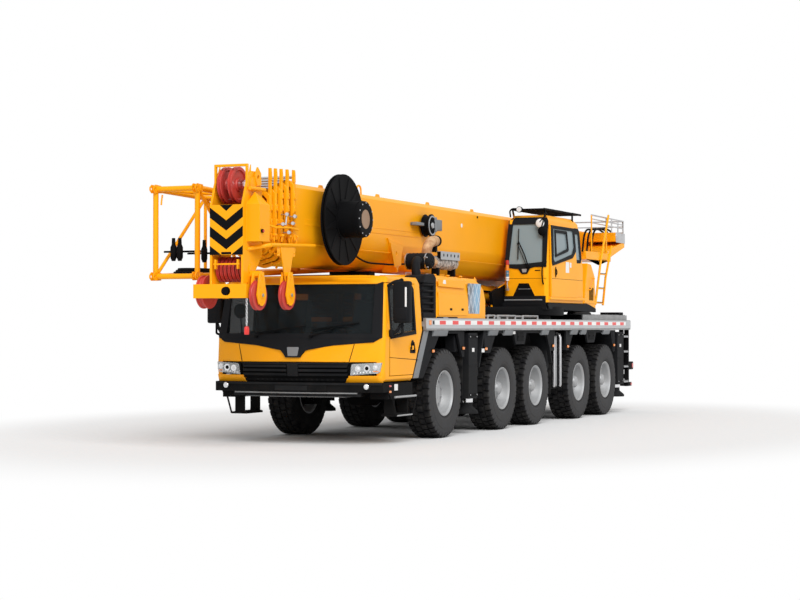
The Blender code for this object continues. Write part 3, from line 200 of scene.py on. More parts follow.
floor_mesh = bpy.data.meshes.new("floor")
floor_sheet = bmesh.new()
bmesh.ops.create_grid(floor_sheet, x_segments=1, y_segments=1, size=FLOOR_SIZE / 2)
floor_sheet.to_mesh(floor_mesh)
floor_sheet.free()
floor = bpy.data.objects.new("floor", floor_mesh)
bpy.context.scene.collection.objects.link(floor)
floor_material = bpy.data.materials.new("pale_floor")
floor_material.use_nodes = True
floor_material.node_tree.nodes.clear()
ground = Nodes(floor_material.node_tree)
gx, gy, _ = ground.place()
far = ground.ramp(ground.maths("SQRT", gx * gx + gy * gy * SHADOW_NARROWING), *SHADOW_REACH)
matt = ground.node("ShaderNodeBsdfDiffuse", None, {"Color": (0.80, 0.80, 0.80)})
lit = ground.node("ShaderNodeEmission", None, {"Color": (1, 1, 1), "Strength": 1.0})
floor_shader = ground.node("ShaderNodeMixShader", None, {0: far * seen_directly(ground), 1: matt, 2: lit})
ground.node("ShaderNodeOutputMaterial", None, {"Surface": floor_shader})
floor_mesh.materials.append(floor_material)

sun_lamp = bpy.data.lights.new("daylight", "SUN")
sun_lamp.energy = SUN_LEVEL
sun_lamp.angle = math.radians(SUN_WIDTH)
sun = bpy.data.objects.new("daylight", sun_lamp)
sun.rotation_euler = Vector(SUN_FROM).to_track_quat("Z", "Y").to_euler()
bpy.context.scene.collection.objects.link(sun)

lens = bpy.data.cameras.new("camera")
lens.lens = LENS
lens.sensor_width = 36
lens.clip_end = 1000
camera = bpy.data.objects.new("camera", lens)
yaw, rise = math.radians(CAMERA_YAW), math.radians(CAMERA_RISE)
aim = Vector((-math.cos(yaw) * math.cos(rise), -math.sin(yaw) * math.cos(rise), math.sin(rise)))
camera.location = Vector(CAMERA_PLACE) + Vector((FRONT_AXLE, 0, 0))
camera.rotation_euler = aim.to_track_quat("-Z", "Y").to_euler()
bpy.context.scene.collection.objects.link(camera)
bpy.context.scene.camera = camera
bpy.context.scene.view_settings.view_transform = "Standard"

# Paints, plastics and bare metal: the steel is blasted, primed and sprayed in gloss yellow or satin black, and
# road dust gathers low down. Patterns follow object coordinates.
class Finish(Nodes):
    """A surface: a Principled shader with its fixed values, and signals for what changes over it."""

    def __init__(self, name, colour, roughness, metallic=0.0, **fixed):
        self.material = bpy.data.materials.new(name)
        self.material.use_nodes = True
        super().__init__(self.material.node_tree)
        self.shader = self.tree.nodes["Principled BSDF"]
        self.set("Base Color", colour)
        self.set("Roughness", roughness)
        self.set("Metallic", metallic)
        for socket, value in fixed.items():
            self.set(socket.replace("_", " "), value)

    def set(self, socket, value):
        self.feed(self.shader.inputs[socket], value)

    def bump(self, height, strength, distance=0.001):
        sockets = {"Height": height, "Strength": strength, "Distance": distance}
        self.set("Normal", self.node("ShaderNodeBump", None, sockets))


def darker(colour, share):
    return tuple(c * share for c in colour)


def paint(name, colour, dusty, roughness, dust=0.25, peel=0.06, **fixed):
    """Sprayed paint: a little orange peel, faint cloudiness, and road dust low down and in patches."""
    finish = Finish(name, colour, roughness, **fixed)
    x, y, z = finish.place()
    low = 1.0 - finish.ramp(z, 0.3, 2.2)
    share = finish.ramp(finish.noise(3.1, 5, 0.6) + low * 0.35, 0.55, 1.0) * dust
    cloud = finish.ramp(finish.noise(0.9, 2), 0.3, 0.7)
    shade = finish.blend(cloud * 0.35, colour, darker(colour, 0.86))
    finish.set("Base Color", finish.blend(share, shade, dusty))
    finish.set("Roughness", roughness + share * 0.4 + finish.noise(14, 3) * 0.06)
    finish.bump(finish.noise(160, 2), peel, 0.0006)
    return finish.material


def bright(name, colour, roughness):
    """Bare or plated metal with fine brushing and a few dull patches."""
    finish = Finish(name, colour, roughness, 1.0)
    patches = finish.ramp(finish.noise(6, 4), 0.45, 0.75)
    finish.set("Base Color", finish.blend(patches * 0.4, colour, darker(colour, 0.72)))
    finish.set("Roughness", roughness + patches * 0.18)
    finish.bump(finish.noise(60, 2, stretch=(1, 9, 9)), 0.05, 0.0005)
    return finish.material


def lens_plastic(name, colour, ribs):
    """A moulded lamp lens with fine upright ribs. Its colour is painted in darker and lighter stripes along the ribs,
    as painted light and shade.
    """
    finish = Finish(name, colour, 0.12, Coat_Weight=0.6)
    x, y, z = finish.place()
    wave = finish.maths("SINE", (x + y) * ribs)
    # painted light and shade: the colour darkens and lightens with the ribs
    finish.set("Base Color", finish.blend(finish.ramp(wave, -1.0, 1.0) * 0.4, colour, darker(colour, 0.6)))
    finish.bump(wave, 0.4, 0.002)
    return finish.material


YELLOW = paint(
    "gloss_yellow", (0.96, 0.39, 0.003), (0.62, 0.36, 0.10), 0.38, 0.12, Coat_Weight=0.06, Coat_Roughness=0.10,
    Specular_IOR_Level=0.16,
)
BLACK = paint("satin_black", (0.004, 0.004, 0.0045), (0.018, 0.017, 0.016), 0.6, 0.45, Specular_IOR_Level=0.06)
CHARCOAL = paint(
    "charcoal_plastic", (0.010, 0.0105, 0.012), (0.03, 0.029, 0.027), 0.6, 0.35, 0.2, Specular_IOR_Level=0.07
)
GREY = paint("deck_grey_paint", (0.21, 0.22, 0.23), (0.22, 0.20, 0.18), 0.55, 0.5, Specular_IOR_Level=0.2)
PALE = paint("pale_grey_paint", (0.46, 0.47, 0.48), (0.36, 0.34, 0.32), 0.5, 0.35, Specular_IOR_Level=0.2)
SILVER = paint("silver_paint", (0.36, 0.37, 0.38), (0.28, 0.26, 0.24), 0.38, 0.25, Metallic=0.25)
WHITE = paint("white_plate", (0.80, 0.80, 0.79), (0.55, 0.53, 0.50), 0.4, 0.3)
RED = paint("sheave_red_paint", (0.52, 0.045, 0.035), (0.30, 0.14, 0.11), 0.42, 0.4)
STRIPE_RED = paint("reflective_red", (0.75, 0.03, 0.025), (0.45, 0.14, 0.12), 0.3, 0.2)
CHROME = bright("bright_steel", (0.74, 0.74, 0.75), 0.16)
STEEL = bright("dull_steel", (0.50, 0.50, 0.51), 0.34)
AMBER = lens_plastic("amber_lens", (0.90, 0.25, 0.01), 400)
LAMP_RED = lens_plastic("red_lens", (0.55, 0.01, 0.01), 400)
CLEAR = lens_plastic("clear_lens", (0.78, 0.80, 0.82), 300)


# Chassis, axles, knuckles and other nodes whose shape stays: welded steel under satin black or yellow paint.
# Each is a copy of its frame node, its doubles merged, its flats joined and its edges eased by grinding.
def shaded(mesh, angle=38):
    mesh.shade_smooth()
    mesh.set_sharp_from_angle(angle=math.radians(angle))


def refined(node, finish, ease=0.004, zones=(), lining=None):
    """A finished copy of a frame node. A zone is a finish with its bounds in X, Y and Z from the front axle, and a
    lining is the finish of the faces that look towards a middle."""
    source = frame["nodes"][node]
    work = bmesh.new()
    work.from_mesh(source.data)
    bmesh.ops.remove_doubles(work, verts=work.verts, dist=0.0002)
    bmesh.ops.dissolve_limit(work, angle_limit=math.radians(1), verts=work.verts, edges=work.edges)
    bmesh.ops.triangulate(work, faces=[face for face in work.faces if len(face.verts) > 4])
    if ease:
        sharp = [e for e in work.edges if len(e.link_faces) == 2 and e.calc_face_angle(0) > math.radians(40)]
        sharp = [e for e in sharp if e.calc_length() > ease * 3]
        bmesh.ops.bevel(
            work, geom=sharp, offset=ease, segments=1, affect="EDGES", profile=0.5, material=-1, clamp_overlap=False
        )
    for edge in work.edges:
        edge.smooth = True
    work.normal_update()
    for face in work.faces:
        face.material_index = 0
        middle = face.calc_center_median() - Vector((FRONT_AXLE, 0, 0))
        if lining and face.normal.dot(Vector(lining[1]) - middle) > 0.25:
            face.material_index = len(zones) + 1
        for i, (_, *bounds) in enumerate(zones):
            if all(low <= value <= high for value, (low, high) in zip(middle, bounds)):
                face.material_index = i + 1
    mesh = bpy.data.meshes.new(node + "_shape")
    work.to_mesh(mesh)
    work.free()
    for used in (finish, *[zone[0] for zone in zones], *([lining[0]] if lining else [])):
        mesh.materials.append(used)
    if "custom_normal" in mesh.attributes:
        mesh.attributes.remove(mesh.attributes["custom_normal"])
    shaded(mesh)
    made = bpy.data.objects.new(node + "_body", mesh)
    bpy.context.scene.collection.objects.link(made)
    evened = made.modifiers.new("even_shading", "WEIGHTED_NORMAL")
    evened.keep_sharp = True
    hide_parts(node)
    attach(made, source["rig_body"])
    return made


def span(side, low, high):
    """Two widths as low and high bounds on the left (1) or right (-1) side."""
    return sorted((low * side, high * side))


def flat_first(a, b, low, high):
    """The corners of a rectangle: along its lower edge, then back along its upper one."""
    return [(a, low), (b, low), (b, high), (a, high)]


def rise_first(a, b, low, high):
    """The corners of a rectangle: up one end and down the other, as for a disc or band that is turned."""
    return [(a, low), (a, high), (b, high), (b, low)]


def circle(count, radius):
    """Pairs of measures evenly round a circle."""
    turns = [math.tau * i / count for i in range(count)]
    return [(radius * math.cos(turn), radius * math.sin(turn)) for turn in turns]


def sheet(points):
    shape = bmesh.new()
    shape.faces.new([shape.verts.new(point) for point in points])
    return shape


def sliced(shape, normal, places):
    """Cuts a sheet along planes, so that it can bend there."""
    for place in places:
        everything = shape.verts[:] + shape.edges[:] + shape.faces[:]
        bmesh.ops.bisect_plane(shape, geom=everything, plane_co=Vector(normal) * place, plane_no=normal)


def thickened(shape, push, faces=None):
    """Pushes a sheet's faces out, so that it becomes a closed shape."""
    out = bmesh.ops.extrude_face_region(shape, geom=faces or shape.faces[:])["geom"]
    bmesh.ops.translate(shape, vec=push, verts=[v for v in out if isinstance(v, bmesh.types.BMVert)])


ALONG = {"x": Vector((1, 0, 0)), "y": Vector((0, 1, 0)), "z": Vector((0, 0, 1))}


def on_plane(axis, place):
    """Puts a pair of measures on the plane across an axis at a place."""
    return {"x": lambda p: (place, *p), "y": lambda p: (p[0], place, p[1]), "z": lambda p: (*p, place)}[axis]


class Piece:
    """A piece in the making: closed shapes are added in the finish last chosen, then it is set on its body."""

    def __init__(self, name, finish):
        self.name = name
        self.work = bmesh.new()
        self.finishes = []
        self.use(finish)

    def use(self, finish):
        if finish not in self.finishes:
            self.finishes.append(finish)
        self.current = self.finishes.index(finish)
        return self

    def add(self, shape, ease=0.0, steps=1, both=False, turn=None):
        """Takes in a closed shape, its edges eased, on both sides of the centre line if asked."""
        bmesh.ops.remove_doubles(shape, verts=shape.verts, dist=0.00001)
        bmesh.ops.recalc_face_normals(shape, faces=shape.faces)
        if ease:
            sharp = [e for e in shape.edges if e.calc_face_angle(0) > math.radians(30)]
            bmesh.ops.bevel(
                shape, geom=sharp, offset=ease, segments=steps, affect="EDGES", profile=0.5, material=-1,
                clamp_overlap=True,
            )
        if turn:
            bmesh.ops.transform(shape, matrix=turn, verts=shape.verts)
        for face in shape.faces:
            face.material_index = self.current
        for flip in (False, True)[: 1 + both]:
            if flip:
                bmesh.ops.scale(shape, vec=(1, -1, 1), verts=shape.verts)
                bmesh.ops.reverse_faces(shape, faces=shape.faces)
            held = bpy.data.meshes.new("held")
            shape.to_mesh(held)
            self.work.from_mesh(held)
            bpy.data.meshes.remove(held)
        shape.free()
        return self

    def block(self, x, y, z, ease=0.004, **more):
        shape = bmesh.new()
        middle = Vector((sum(x), sum(y), sum(z))) / 2
        size = (abs(x[1] - x[0]), abs(y[1] - y[0]), abs(z[1] - z[0]), 1)
        bmesh.ops.create_cube(shape, size=1, matrix=Matrix.Translation(middle) @ Matrix.Diagonal(size))
        return self.add(shape, min(ease, min(size) * 0.3), **more)

    def slab(self, outline, axis, low, high, ease=0.003, **more):
        """A flat outline in the two other axes, in their order, pushed out from low to high."""
        shape = sheet(map(on_plane(axis, low), outline))
        thickened(shape, ALONG[axis] * (high - low))
        return self.add(shape, min(ease, abs(high - low) * 0.3), **more)

    def round(self, start, end, radius, end_radius=None, sides=16, ease=0.0, **more):
        """A round bar or cone between two points."""
        shape = bmesh.new()
        start, end = Vector(start), Vector(end)
        turn = (end - start).to_track_quat("Z", "X").to_matrix().to_4x4()
        bmesh.ops.create_cone(
            shape, cap_ends=True, segments=sides, radius1=radius, radius2=radius if end_radius is None else end_radius,
            depth=(end - start).length, matrix=Matrix.Translation((start + end) / 2) @ turn,
        )
        return self.add(shape, ease, **more)

    def ball(self, centre, radius, stretch=(1, 1, 1), sides=16, **more):
        shape = bmesh.new()
        place = Matrix.Translation(centre) @ Matrix.Diagonal((*stretch, 1))
        bmesh.ops.create_uvsphere(shape, u_segments=sides, v_segments=sides // 2, radius=radius, matrix=place)
        return self.add(shape, **more)

    def turned(self, profile, axis, centre, steps=32, **more):
        """A closed profile of (distance along the axis, radius) pairs, spun about the axis through centre."""
        shape = bmesh.new()
        along, out = ALONG[axis], ALONG["x" if axis == "z" else "z"]
        points = [shape.verts.new(Vector(centre) + along * a + out * r) for a, r in profile]
        closed = profile[0][1] > 0 or profile[-1][1] > 0
        pairs = list(zip(points, points[1:])) + ([(points[-1], points[0])] if closed else [])
        edges = [shape.edges.new(pair) for pair in pairs]
        bmesh.ops.spin(
            shape, geom=points + edges, cent=centre, axis=along, angle=math.tau, steps=steps,
            use_merge=True, use_duplicate=False,
        )
        return self.add(shape, **more)

    def hose(self, points, radius, smooth=True, sides=3, **more):
        """A tube along points, on a smooth curve or with straight runs."""
        curve = bpy.data.curves.new("held", "CURVE")
        curve.dimensions = "3D"
        curve.bevel_depth = radius
        curve.bevel_resolution = sides - 2
        curve.use_fill_caps = True
        curve.resolution_u = 6
        line = curve.splines.new("BEZIER")
        line.bezier_points.add(len(points) - 1)
        for knot, point in zip(line.bezier_points, points):
            knot.co = point
            knot.handle_left_type = knot.handle_right_type = "AUTO" if smooth else "VECTOR"
        held = bpy.data.objects.new("held", curve)
        mesh = bpy.data.meshes.new_from_object(held)
        shape = bmesh.new()
        shape.from_mesh(mesh)
        bpy.data.objects.remove(held)
        bpy.data.curves.remove(curve)
        bpy.data.meshes.remove(mesh)
        return self.add(shape, **more)

    def plate(self, outline, holes, axis, low, high, ease=0.002, **more):
        """A flat plate as in slab, with holes: each an outline, or (place, place, radius) where it is round."""
        shape = bmesh.new()
        loops = [outline]
        for hole in holes:
            if isinstance(hole, tuple):
                a, b, radius = hole
                turns = [math.tau * i / 16 for i in range(16)]
                hole = [(a + radius * math.cos(t), b + radius * math.sin(t)) for t in turns]
            loops.append(hole)
        edges = []
        for loop in loops:
            corners = [shape.verts.new(place) for place in map(on_plane(axis, low), loop)]
            edges += [shape.edges.new(pair) for pair in zip(corners, corners[1:] + corners[:1])]
        filled = bmesh.ops.triangle_fill(shape, edges=edges, use_beauty=True)["geom"]
        thickened(shape, ALONG[axis] * (high - low), [f for f in filled if isinstance(f, bmesh.types.BMFace)])
        bmesh.ops.dissolve_limit(shape, angle_limit=0.01, verts=shape.verts, edges=shape.edges)
        return self.add(shape, min(ease, abs(high - low) * 0.3), **more)

    def nuts(self, places, axis, size=0.014, height=0.012):
        """Hexagon nuts whose heads point along the axis."""
        push = Vector(axis) * height
        for place in places:
            self.round(Vector(place) - push * 0.3, Vector(place) + push, size, size * 0.94, sides=6)
        return self

    def done(self, body, slot=None, replaces=(), angle=38):
        mesh = bpy.data.meshes.new(self.name)
        bmesh.ops.translate(self.work, vec=(FRONT_AXLE, 0, 0), verts=self.work.verts)
        self.work.to_mesh(mesh)
        self.work.free()
        for finish in self.finishes:
            mesh.materials.append(finish)
        shaded(mesh, angle)
        made = bpy.data.objects.new(self.name, mesh)
        bpy.context.scene.collection.objects.link(made)
        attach(made, body)
        if replaces:
            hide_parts(*replaces)
        return made


for node in ("chassis_frame", "axles_and_shafts", "engine"):
    refined(node, BLACK)
for number in "1245":
    for side_name in ("left", "right"):
        refined(f"knuckle_{number}_{side_name}", BLACK)

# Wheels: a broad radial tyre with block lugs on a one-piece steel rim, silver-painted and held by ten nuts. The
# front pair has a shallow dish, the others a planetary hub that stands out as a dome.
TYRE_RADIUS = 0.6815
LUG_HEIGHT = 0.024
LUGS_ROUND = 38
WHEEL_MIDDLE = 1.1525
TYRE_RING = [
    (0.172, 0.336), (0.196, 0.352), (0.205, 0.392), (0.213, 0.398), (0.216, 0.404), (0.2165, 0.44), (0.2205, 0.444),
    (0.2225, 0.50), (0.2205, 0.548), (0.216, 0.552), (0.215, 0.585), (0.209, 0.615), (0.198, 0.642), (0.175, 0.655),
    (0.09, 0.659),
]
RIM_FACE = [(0.184, 0.326), (0.197, 0.334), (0.200, 0.345), (0.192, 0.352), (0.178, 0.346)]
rubber = Finish("tyre_rubber", (0.03, 0.03, 0.03), 0.8, Specular_IOR_Level=0.10)
_, ry, _ = rubber.place()
# Only the outer sidewall is drawn in grey rubber. Everything inboard of it, tread included, is painted near black as
# painted shade on the inboard side.
unshaded_outer_wall = rubber.ramp(abs(ry), 1.345, 1.36)
grime = rubber.ramp(rubber.noise(9, 5, 0.6), 0.35, 0.75)
tone = rubber.blend(unshaded_outer_wall, (0.006, 0.006, 0.007), (0.046, 0.046, 0.048))
rubber.set("Base Color", rubber.blend(grime * 0.35, tone, (0.070, 0.066, 0.060)))
rubber.set("Roughness", 0.68 + grime * 0.2)
rubber.bump(rubber.noise(220, 3), 0.15, 0.001)
RUBBER = rubber.material
WHEELS = (("1", 0.0), ("2", -2.53), ("3", -4.18), ("4", -6.57), ("5", -8.22))


def lug(piece, outline, turn, half_angle, centre, side):
    """One tread block: its outline across the tread, pushed out along the ground and turned round the tyre."""
    width = 2 * TYRE_RADIUS * math.sin(half_angle)
    shape = sheet((-width / 2, y * side, r) for y, r in outline)
    thickened(shape, (width, 0, 0))
    piece.add(shape, turn=Matrix.Translation(centre) @ Matrix.Rotation(turn, 4, "Y"))


ROOT = TYRE_RADIUS - LUG_HEIGHT - 0.008
CROWN = TYRE_RADIUS - 0.0012
SHOULDER_LUG = [(0.112, ROOT), (0.118, CROWN), (0.180, CROWN - 0.001), (0.202, 0.660), (0.214, 0.612), (0.196, 0.604)]
MIDDLE_LUG = [(0.010, ROOT), (0.014, CROWN), (0.096, CROWN), (0.100, ROOT)]
for number, station in WHEELS:
    for side_name, side in (("left", 1), ("right", -1)):
        centre = Vector((station, side * WHEEL_MIDDLE, TYRE_RADIUS))
        tyre = Piece(f"tyre_{number}_{side_name}", RUBBER)
        ring = TYRE_RING + [(-y, r) for y, r in reversed(TYRE_RING)]
        tyre.turned([(side * y, r) for y, r in ring], "y", centre, 64)
        pitch = math.tau / LUGS_ROUND
        for i in range(LUGS_ROUND):
            for across in (1, -1):
                lug(tyre, SHOULDER_LUG, (i + 0.25 * across) * pitch, pitch * 0.33, centre, across)
                lug(tyre, MIDDLE_LUG, (i + 0.25 + 0.25 * across) * pitch, pitch * 0.36, centre, across)
        carrier_body = f"wheel_{number}_{side_name}"
        tyre.done(carrier_body, "tyre", (carrier_body,), 30)

        rim = Piece(f"rim_{number}_{side_name}", SILVER)
        if number == "1":
            dish = [(0.060, 0), (0.066, 0.055), (0.060, 0.085), (0.035, 0.098), (0.030, 0.14), (0.034, 0.165)]
            dish += [(0.040, 0.175), (0.040, 0.235), (0.030, 0.262)]
        else:
            dish = [(0.172, 0), (0.168, 0.050), (0.150, 0.088), (0.132, 0.104), (0.060, 0.128), (0.045, 0.150)]
            dish += [(0.042, 0.165), (0.042, 0.235), (0.030, 0.262)]
        face = dish + [(0.034, 0.275), (0.075, 0.296), (0.140, 0.308), (0.172, 0.314)] + RIM_FACE
        back = [(0.160, 0.336), (0.150, 0.328), (-0.178, 0.328), (-0.178, 0.346), (-0.192, 0.352), (-0.197, 0.334)]
        back += [(-0.170, 0.312), (-0.020, 0.296), (-0.005, 0.285), (-0.005, 0)]
        rim.turned([(side * y, r) for y, r in face + back], "y", centre, 48)
        studs = [(0.205 * math.cos(a), 0.205 * math.sin(a)) for a in (math.tau * (i + 0.5) / 10 for i in range(10))]
        rim.use(STEEL).nuts([centre + Vector((x, side * 0.040, z)) for x, z in studs], (0, side, 0), 0.017, 0.022)
        if number != "1":
            cap = circle(8, 0.098)
            rim.nuts([centre + Vector((x, side * 0.136, z)) for x, z in cap], (0, side, 0), 0.008, 0.010)
        rim.use(BLACK).hose(
            [
                centre + Vector(p)
                for p in ((0, side * 0.04, 0.268), (0.01, side * 0.10, 0.285), (0.012, side * 0.15, 0.288))
            ],
            0.004
        )
        rim.done(carrier_body, "bright_metal", (), 32)

# Deck: chequer plate on the girder with a pressed side rail. The rail carries a white reflective band with red
# dashes; silver frames of bent tube, tread strips, black boxes and a hose stand on the plate.
DECK_EDGE = 1.375
DECK_FRONT = 0.80
DECK_REAR = -9.85
RAIL_TOP = 1.83
RAIL_LOW = 1.64
BAND = (1.725, 1.795)
DASHES = 19
CHEQUER_PITCH = 130

chequer = Finish("chequer_plate", (0.30, 0.31, 0.32), 0.45, Metallic=0.35)
cx, cy, _ = chequer.place()
ribs = [chequer.maths("SINE", across * CHEQUER_PITCH) for across in (cx + cy, cx - cy)]
tears = chequer.ramp(chequer.maths("MAXIMUM", *ribs), 0.75, 0.95)
wear = chequer.ramp(chequer.noise(5, 5, 0.6), 0.4, 0.75)
chequer.set(
    "Base Color",
    chequer.blend(tears * 0.5, chequer.blend(wear, (0.20, 0.20, 0.20), (0.30, 0.30, 0.30)), (0.45, 0.45, 0.45))
)
chequer.set("Roughness", 0.55 - tears * 0.2)
chequer.bump(tears, 0.6, 0.003)
refined("deck", chequer.material)

edge = Piece("deck_edge_bands", PALE)
for side in (1, -1):
    y = span(side, DECK_EDGE + 0.0005, DECK_EDGE + 0.006)
    edge.use(PALE).block((DECK_REAR, DECK_FRONT), y, (RAIL_LOW + 0.03, RAIL_TOP - 0.01), 0.002)
    y = span(side, DECK_EDGE + 0.005, DECK_EDGE + 0.009)
    edge.use(WHITE).block((DECK_REAR + 0.35, 0.46), y, BAND, 0.001)
    y = span(side, DECK_EDGE + 0.008, DECK_EDGE + 0.011)
    for i in range(DASHES):
        x = 0.28 - i * 0.522
        edge.use(STRIPE_RED).block((x - 0.24, x), y, (BAND[0] + 0.006, BAND[1] - 0.006), 0.001)
    edge.use(AMBER).block((0.60, 0.70), y, BAND, 0.004)
    edge.use(BLACK).block((0.50, 0.545), y, (1.735, 1.785), 0.004)
edge.done("carrier", "deck_grey")

fittings = Piece("deck_fittings", SILVER)
for x0, x1 in ((-2.28, -1.98), (-3.28, -2.44), (-4.42, -3.66)):
    for side in (1, -1):
        y0, y1 = span(side, 1.02, 1.30)
        fittings.use(SILVER)
        for y in (side * 1.30, side * 1.02):
            fittings.hose([(x0, y, 1.775), (x0, y, 1.885), (x1, y, 1.885), (x1, y, 1.775)], 0.017, False)
        steps = round((x1 - x0) / 0.2)
        for i in range(steps + 1):
            x = x0 + (x1 - x0) * i / steps
            fittings.hose([(x, y0, 1.87), (x, y1, 1.87)], 0.011, False)
for side in (1, -1):
    fittings.use(BLACK).block((-6.96, -7.0), span(side, 0.2, 1.28), (1.78, 1.925), 0.004)
    fittings.use(GREY)
    for i in range(7):
        fittings.block((-9.80 + i * 0.40, -9.76 + i * 0.40), span(side, 0.1, 1.28), (1.929, 1.937), 0.002)
    fittings.use(BLACK).block((-9.80, -9.50), span(side, 0.85, 1.24), (1.93, 1.99), 0.008)
    fittings.use(CHARCOAL).round((-7.4, side * 0.9, 1.935), (-8.6, side * 0.9, 1.935), 0.055, sides=14)
fittings.use(BLACK).hose([(-7.0, -0.6, 1.80), (-6.9, -0.2, 1.82), (-6.75, 0.1, 1.80), (-6.6, 0.2, 1.80)], 0.025)
fittings.done("carrier", "deck_grey")

# Mudguards: pressed black sheet over each pair of wheels, with sloped grey edge plates under the deck rail,
# amber markers on the skirts and rubber flaps. A silver ribbed pad stands upright on bent tubes on each side.
for side_name, side in (("left", 1), ("right", -1)):
    refined(f"mudguards_{side_name}", CHARCOAL)
    trims = Piece(f"mudguard_trims_{side_name}", PALE)

    for x0, x1 in (
        (0.46, -0.10), (-2.30, -1.90), (-3.02, -2.62), (-4.86, -4.50), (-6.50, -6.12), (-7.02, -6.72),
        (-8.50, -8.10)
    ):
        brow = [(1.285, 1.638), (1.372, 1.638), (1.350, 1.560), (1.330, 1.552), (1.285, 1.60)]
        trims.use(GREY).slab([(side * y, z) for y, z in brow], "x", min(x0, x1), max(x0, x1), 0.002)
    plate = [(0.79, 1.638), (0.62, 1.638), (1.02, 0.94), (1.20, 0.94)]
    trims.use(GREY).slab(plate, "y", *span(side, 1.331, 1.345), 0.002)
    for x, z in ((0.44, 1.33), (-0.80, 1.36), (-1.80, 1.34), (-5.16, 1.36), (-5.98, 1.34), (-8.84, 1.34)):
        trims.use(BLACK).block((x - 0.055, x + 0.055), span(side, 1.331, 1.340), (z - 0.032, z + 0.032), 0.004)
        trims.use(AMBER).block((x - 0.042, x + 0.042), span(side, 1.336, 1.352), (z - 0.022, z + 0.022), 0.006)
    for x in (-3.46, -7.40):
        trims.use(BLACK).block((x - 0.16, x + 0.16), span(side, 1.331, 1.337), (1.46, 1.60), 0.004)
        trims.nuts([(x + dx, side * 1.337, 1.53) for dx in (-0.12, 0.12)], (0, side, 0), 0.011, 0.008)
    trims.use(WHITE).block((-3.20, -2.98), span(side, 1.331, 1.336), (1.575, 1.625), 0.001)
    trims.block((-1.62, -1.74), span(side, 1.331, 1.336), (1.285, 1.345), 0.001)
    trims.use(RUBBER)
    for x, low in ((-0.862, 0.50), (-5.142, 0.50), (-8.862, 0.48)):
        trims.block((x - 0.006, x + 0.006), span(side, 0.93, 1.30), (low, 1.26 if x > -1 else 1.22), 0.002)
        trims.nuts([(x + 0.006, side * y, 1.20) for y in (1.0, 1.12, 1.24)], (1, 0, 0), 0.010, 0.006)
    trims.use(STEEL)
    for x in (-5.42, -5.76):
        trims.hose(
            [
                (x, side * 1.252, 0.62), (x, side * 1.262, 0.66), (x, side * 1.262, 1.50), (x, side * 1.24, 1.56),
                (x, side * 1.16, 1.58)
            ],
            0.030, False, 6
        )
    trims.use(SILVER)
    for i in range(3):
        x = -5.50 - i * 0.09
        trims.block((x - 0.018, x + 0.018), span(side, 1.20, 1.225), (0.62, 1.54), 0.008)
    trims.use(CHARCOAL)
    for x0, x1, z0, z1 in ((-1.50, -1.64, 0.90, 1.58), (-0.60, -0.82, 1.30, 1.58), (-5.0, -5.12, 0.95, 1.5)):
        trims.block((x1, x0), span(side, 1.10, 1.27), (z0, z1), 0.015)
    trims.done("carrier", "frame_black")

# Outriggers: welded box beams with a jack column at each end, bolted bands round it, a chromed rod and a round
# foot below that is stiffened by six ribs.
for end, station in (("front", -1.17), ("rear", -9.20)):
    for side_name, side in (("left", 1), ("right", -1)):
        refined(f"outrigger_beam_{end}_{side_name}", CHARCOAL)
        refined(f"outrigger_jack_{end}_{side_name}", CHARCOAL)
        face = Piece(f"outrigger_column_{end}_{side_name}", CHARCOAL)

        face.block((station - 0.19, station + 0.19), span(side, 1.361, 1.366), (1.075, 1.092), 0.002)
        face.use(PALE).block((station - 0.185, station + 0.185), span(side, 1.361, 1.364), (1.076, 1.090), 0.001)
        face.use(BLACK).block((station - 0.16, station + 0.16), span(side, 1.361, 1.368), (0.60, 0.64), 0.003)
        face.block((station - 0.16, station + 0.16), span(side, 1.361, 1.368), (1.52, 1.56), 0.003)
        face.use(STEEL).nuts(
            [(station + dx, side * 1.366, z) for dx in (-0.14, 0.14) for z in (0.62, 1.54)], (0, side, 0), 0.013,
            0.010
        )
        face.use(CHROME).round((station, side * 1.25, 0.50), (station, side * 1.25, 0.565), 0.098, sides=24)
        face.use(WHITE).block((station - 0.05, station + 0.05), span(side, 1.361, 1.3635), (1.30, 1.36), 0.001)
        face.done(f"outrigger_{end}_{side_name}", "frame_black")
        foot = Piece(f"jack_foot_{end}_{side_name}", CHARCOAL)
        pad = [
            (0.3205, 0.0), (0.3205, 0.155), (0.335, 0.176), (0.352, 0.176), (0.366, 0.150), (0.42, 0.10),
            (0.44, 0.0)
        ]
        foot.turned(pad, "z", (station, side * 1.25, 0), 32)
        for (a, b), (c, d) in zip(circle(6, 0.08), circle(6, 0.165)):
            foot.hose([(station + a, side * 1.25 + b, 0.43), (station + c, side * 1.25 + d, 0.362)], 0.010, False)
        foot.done(f"jack_{end}_{side_name}", "bright_metal")

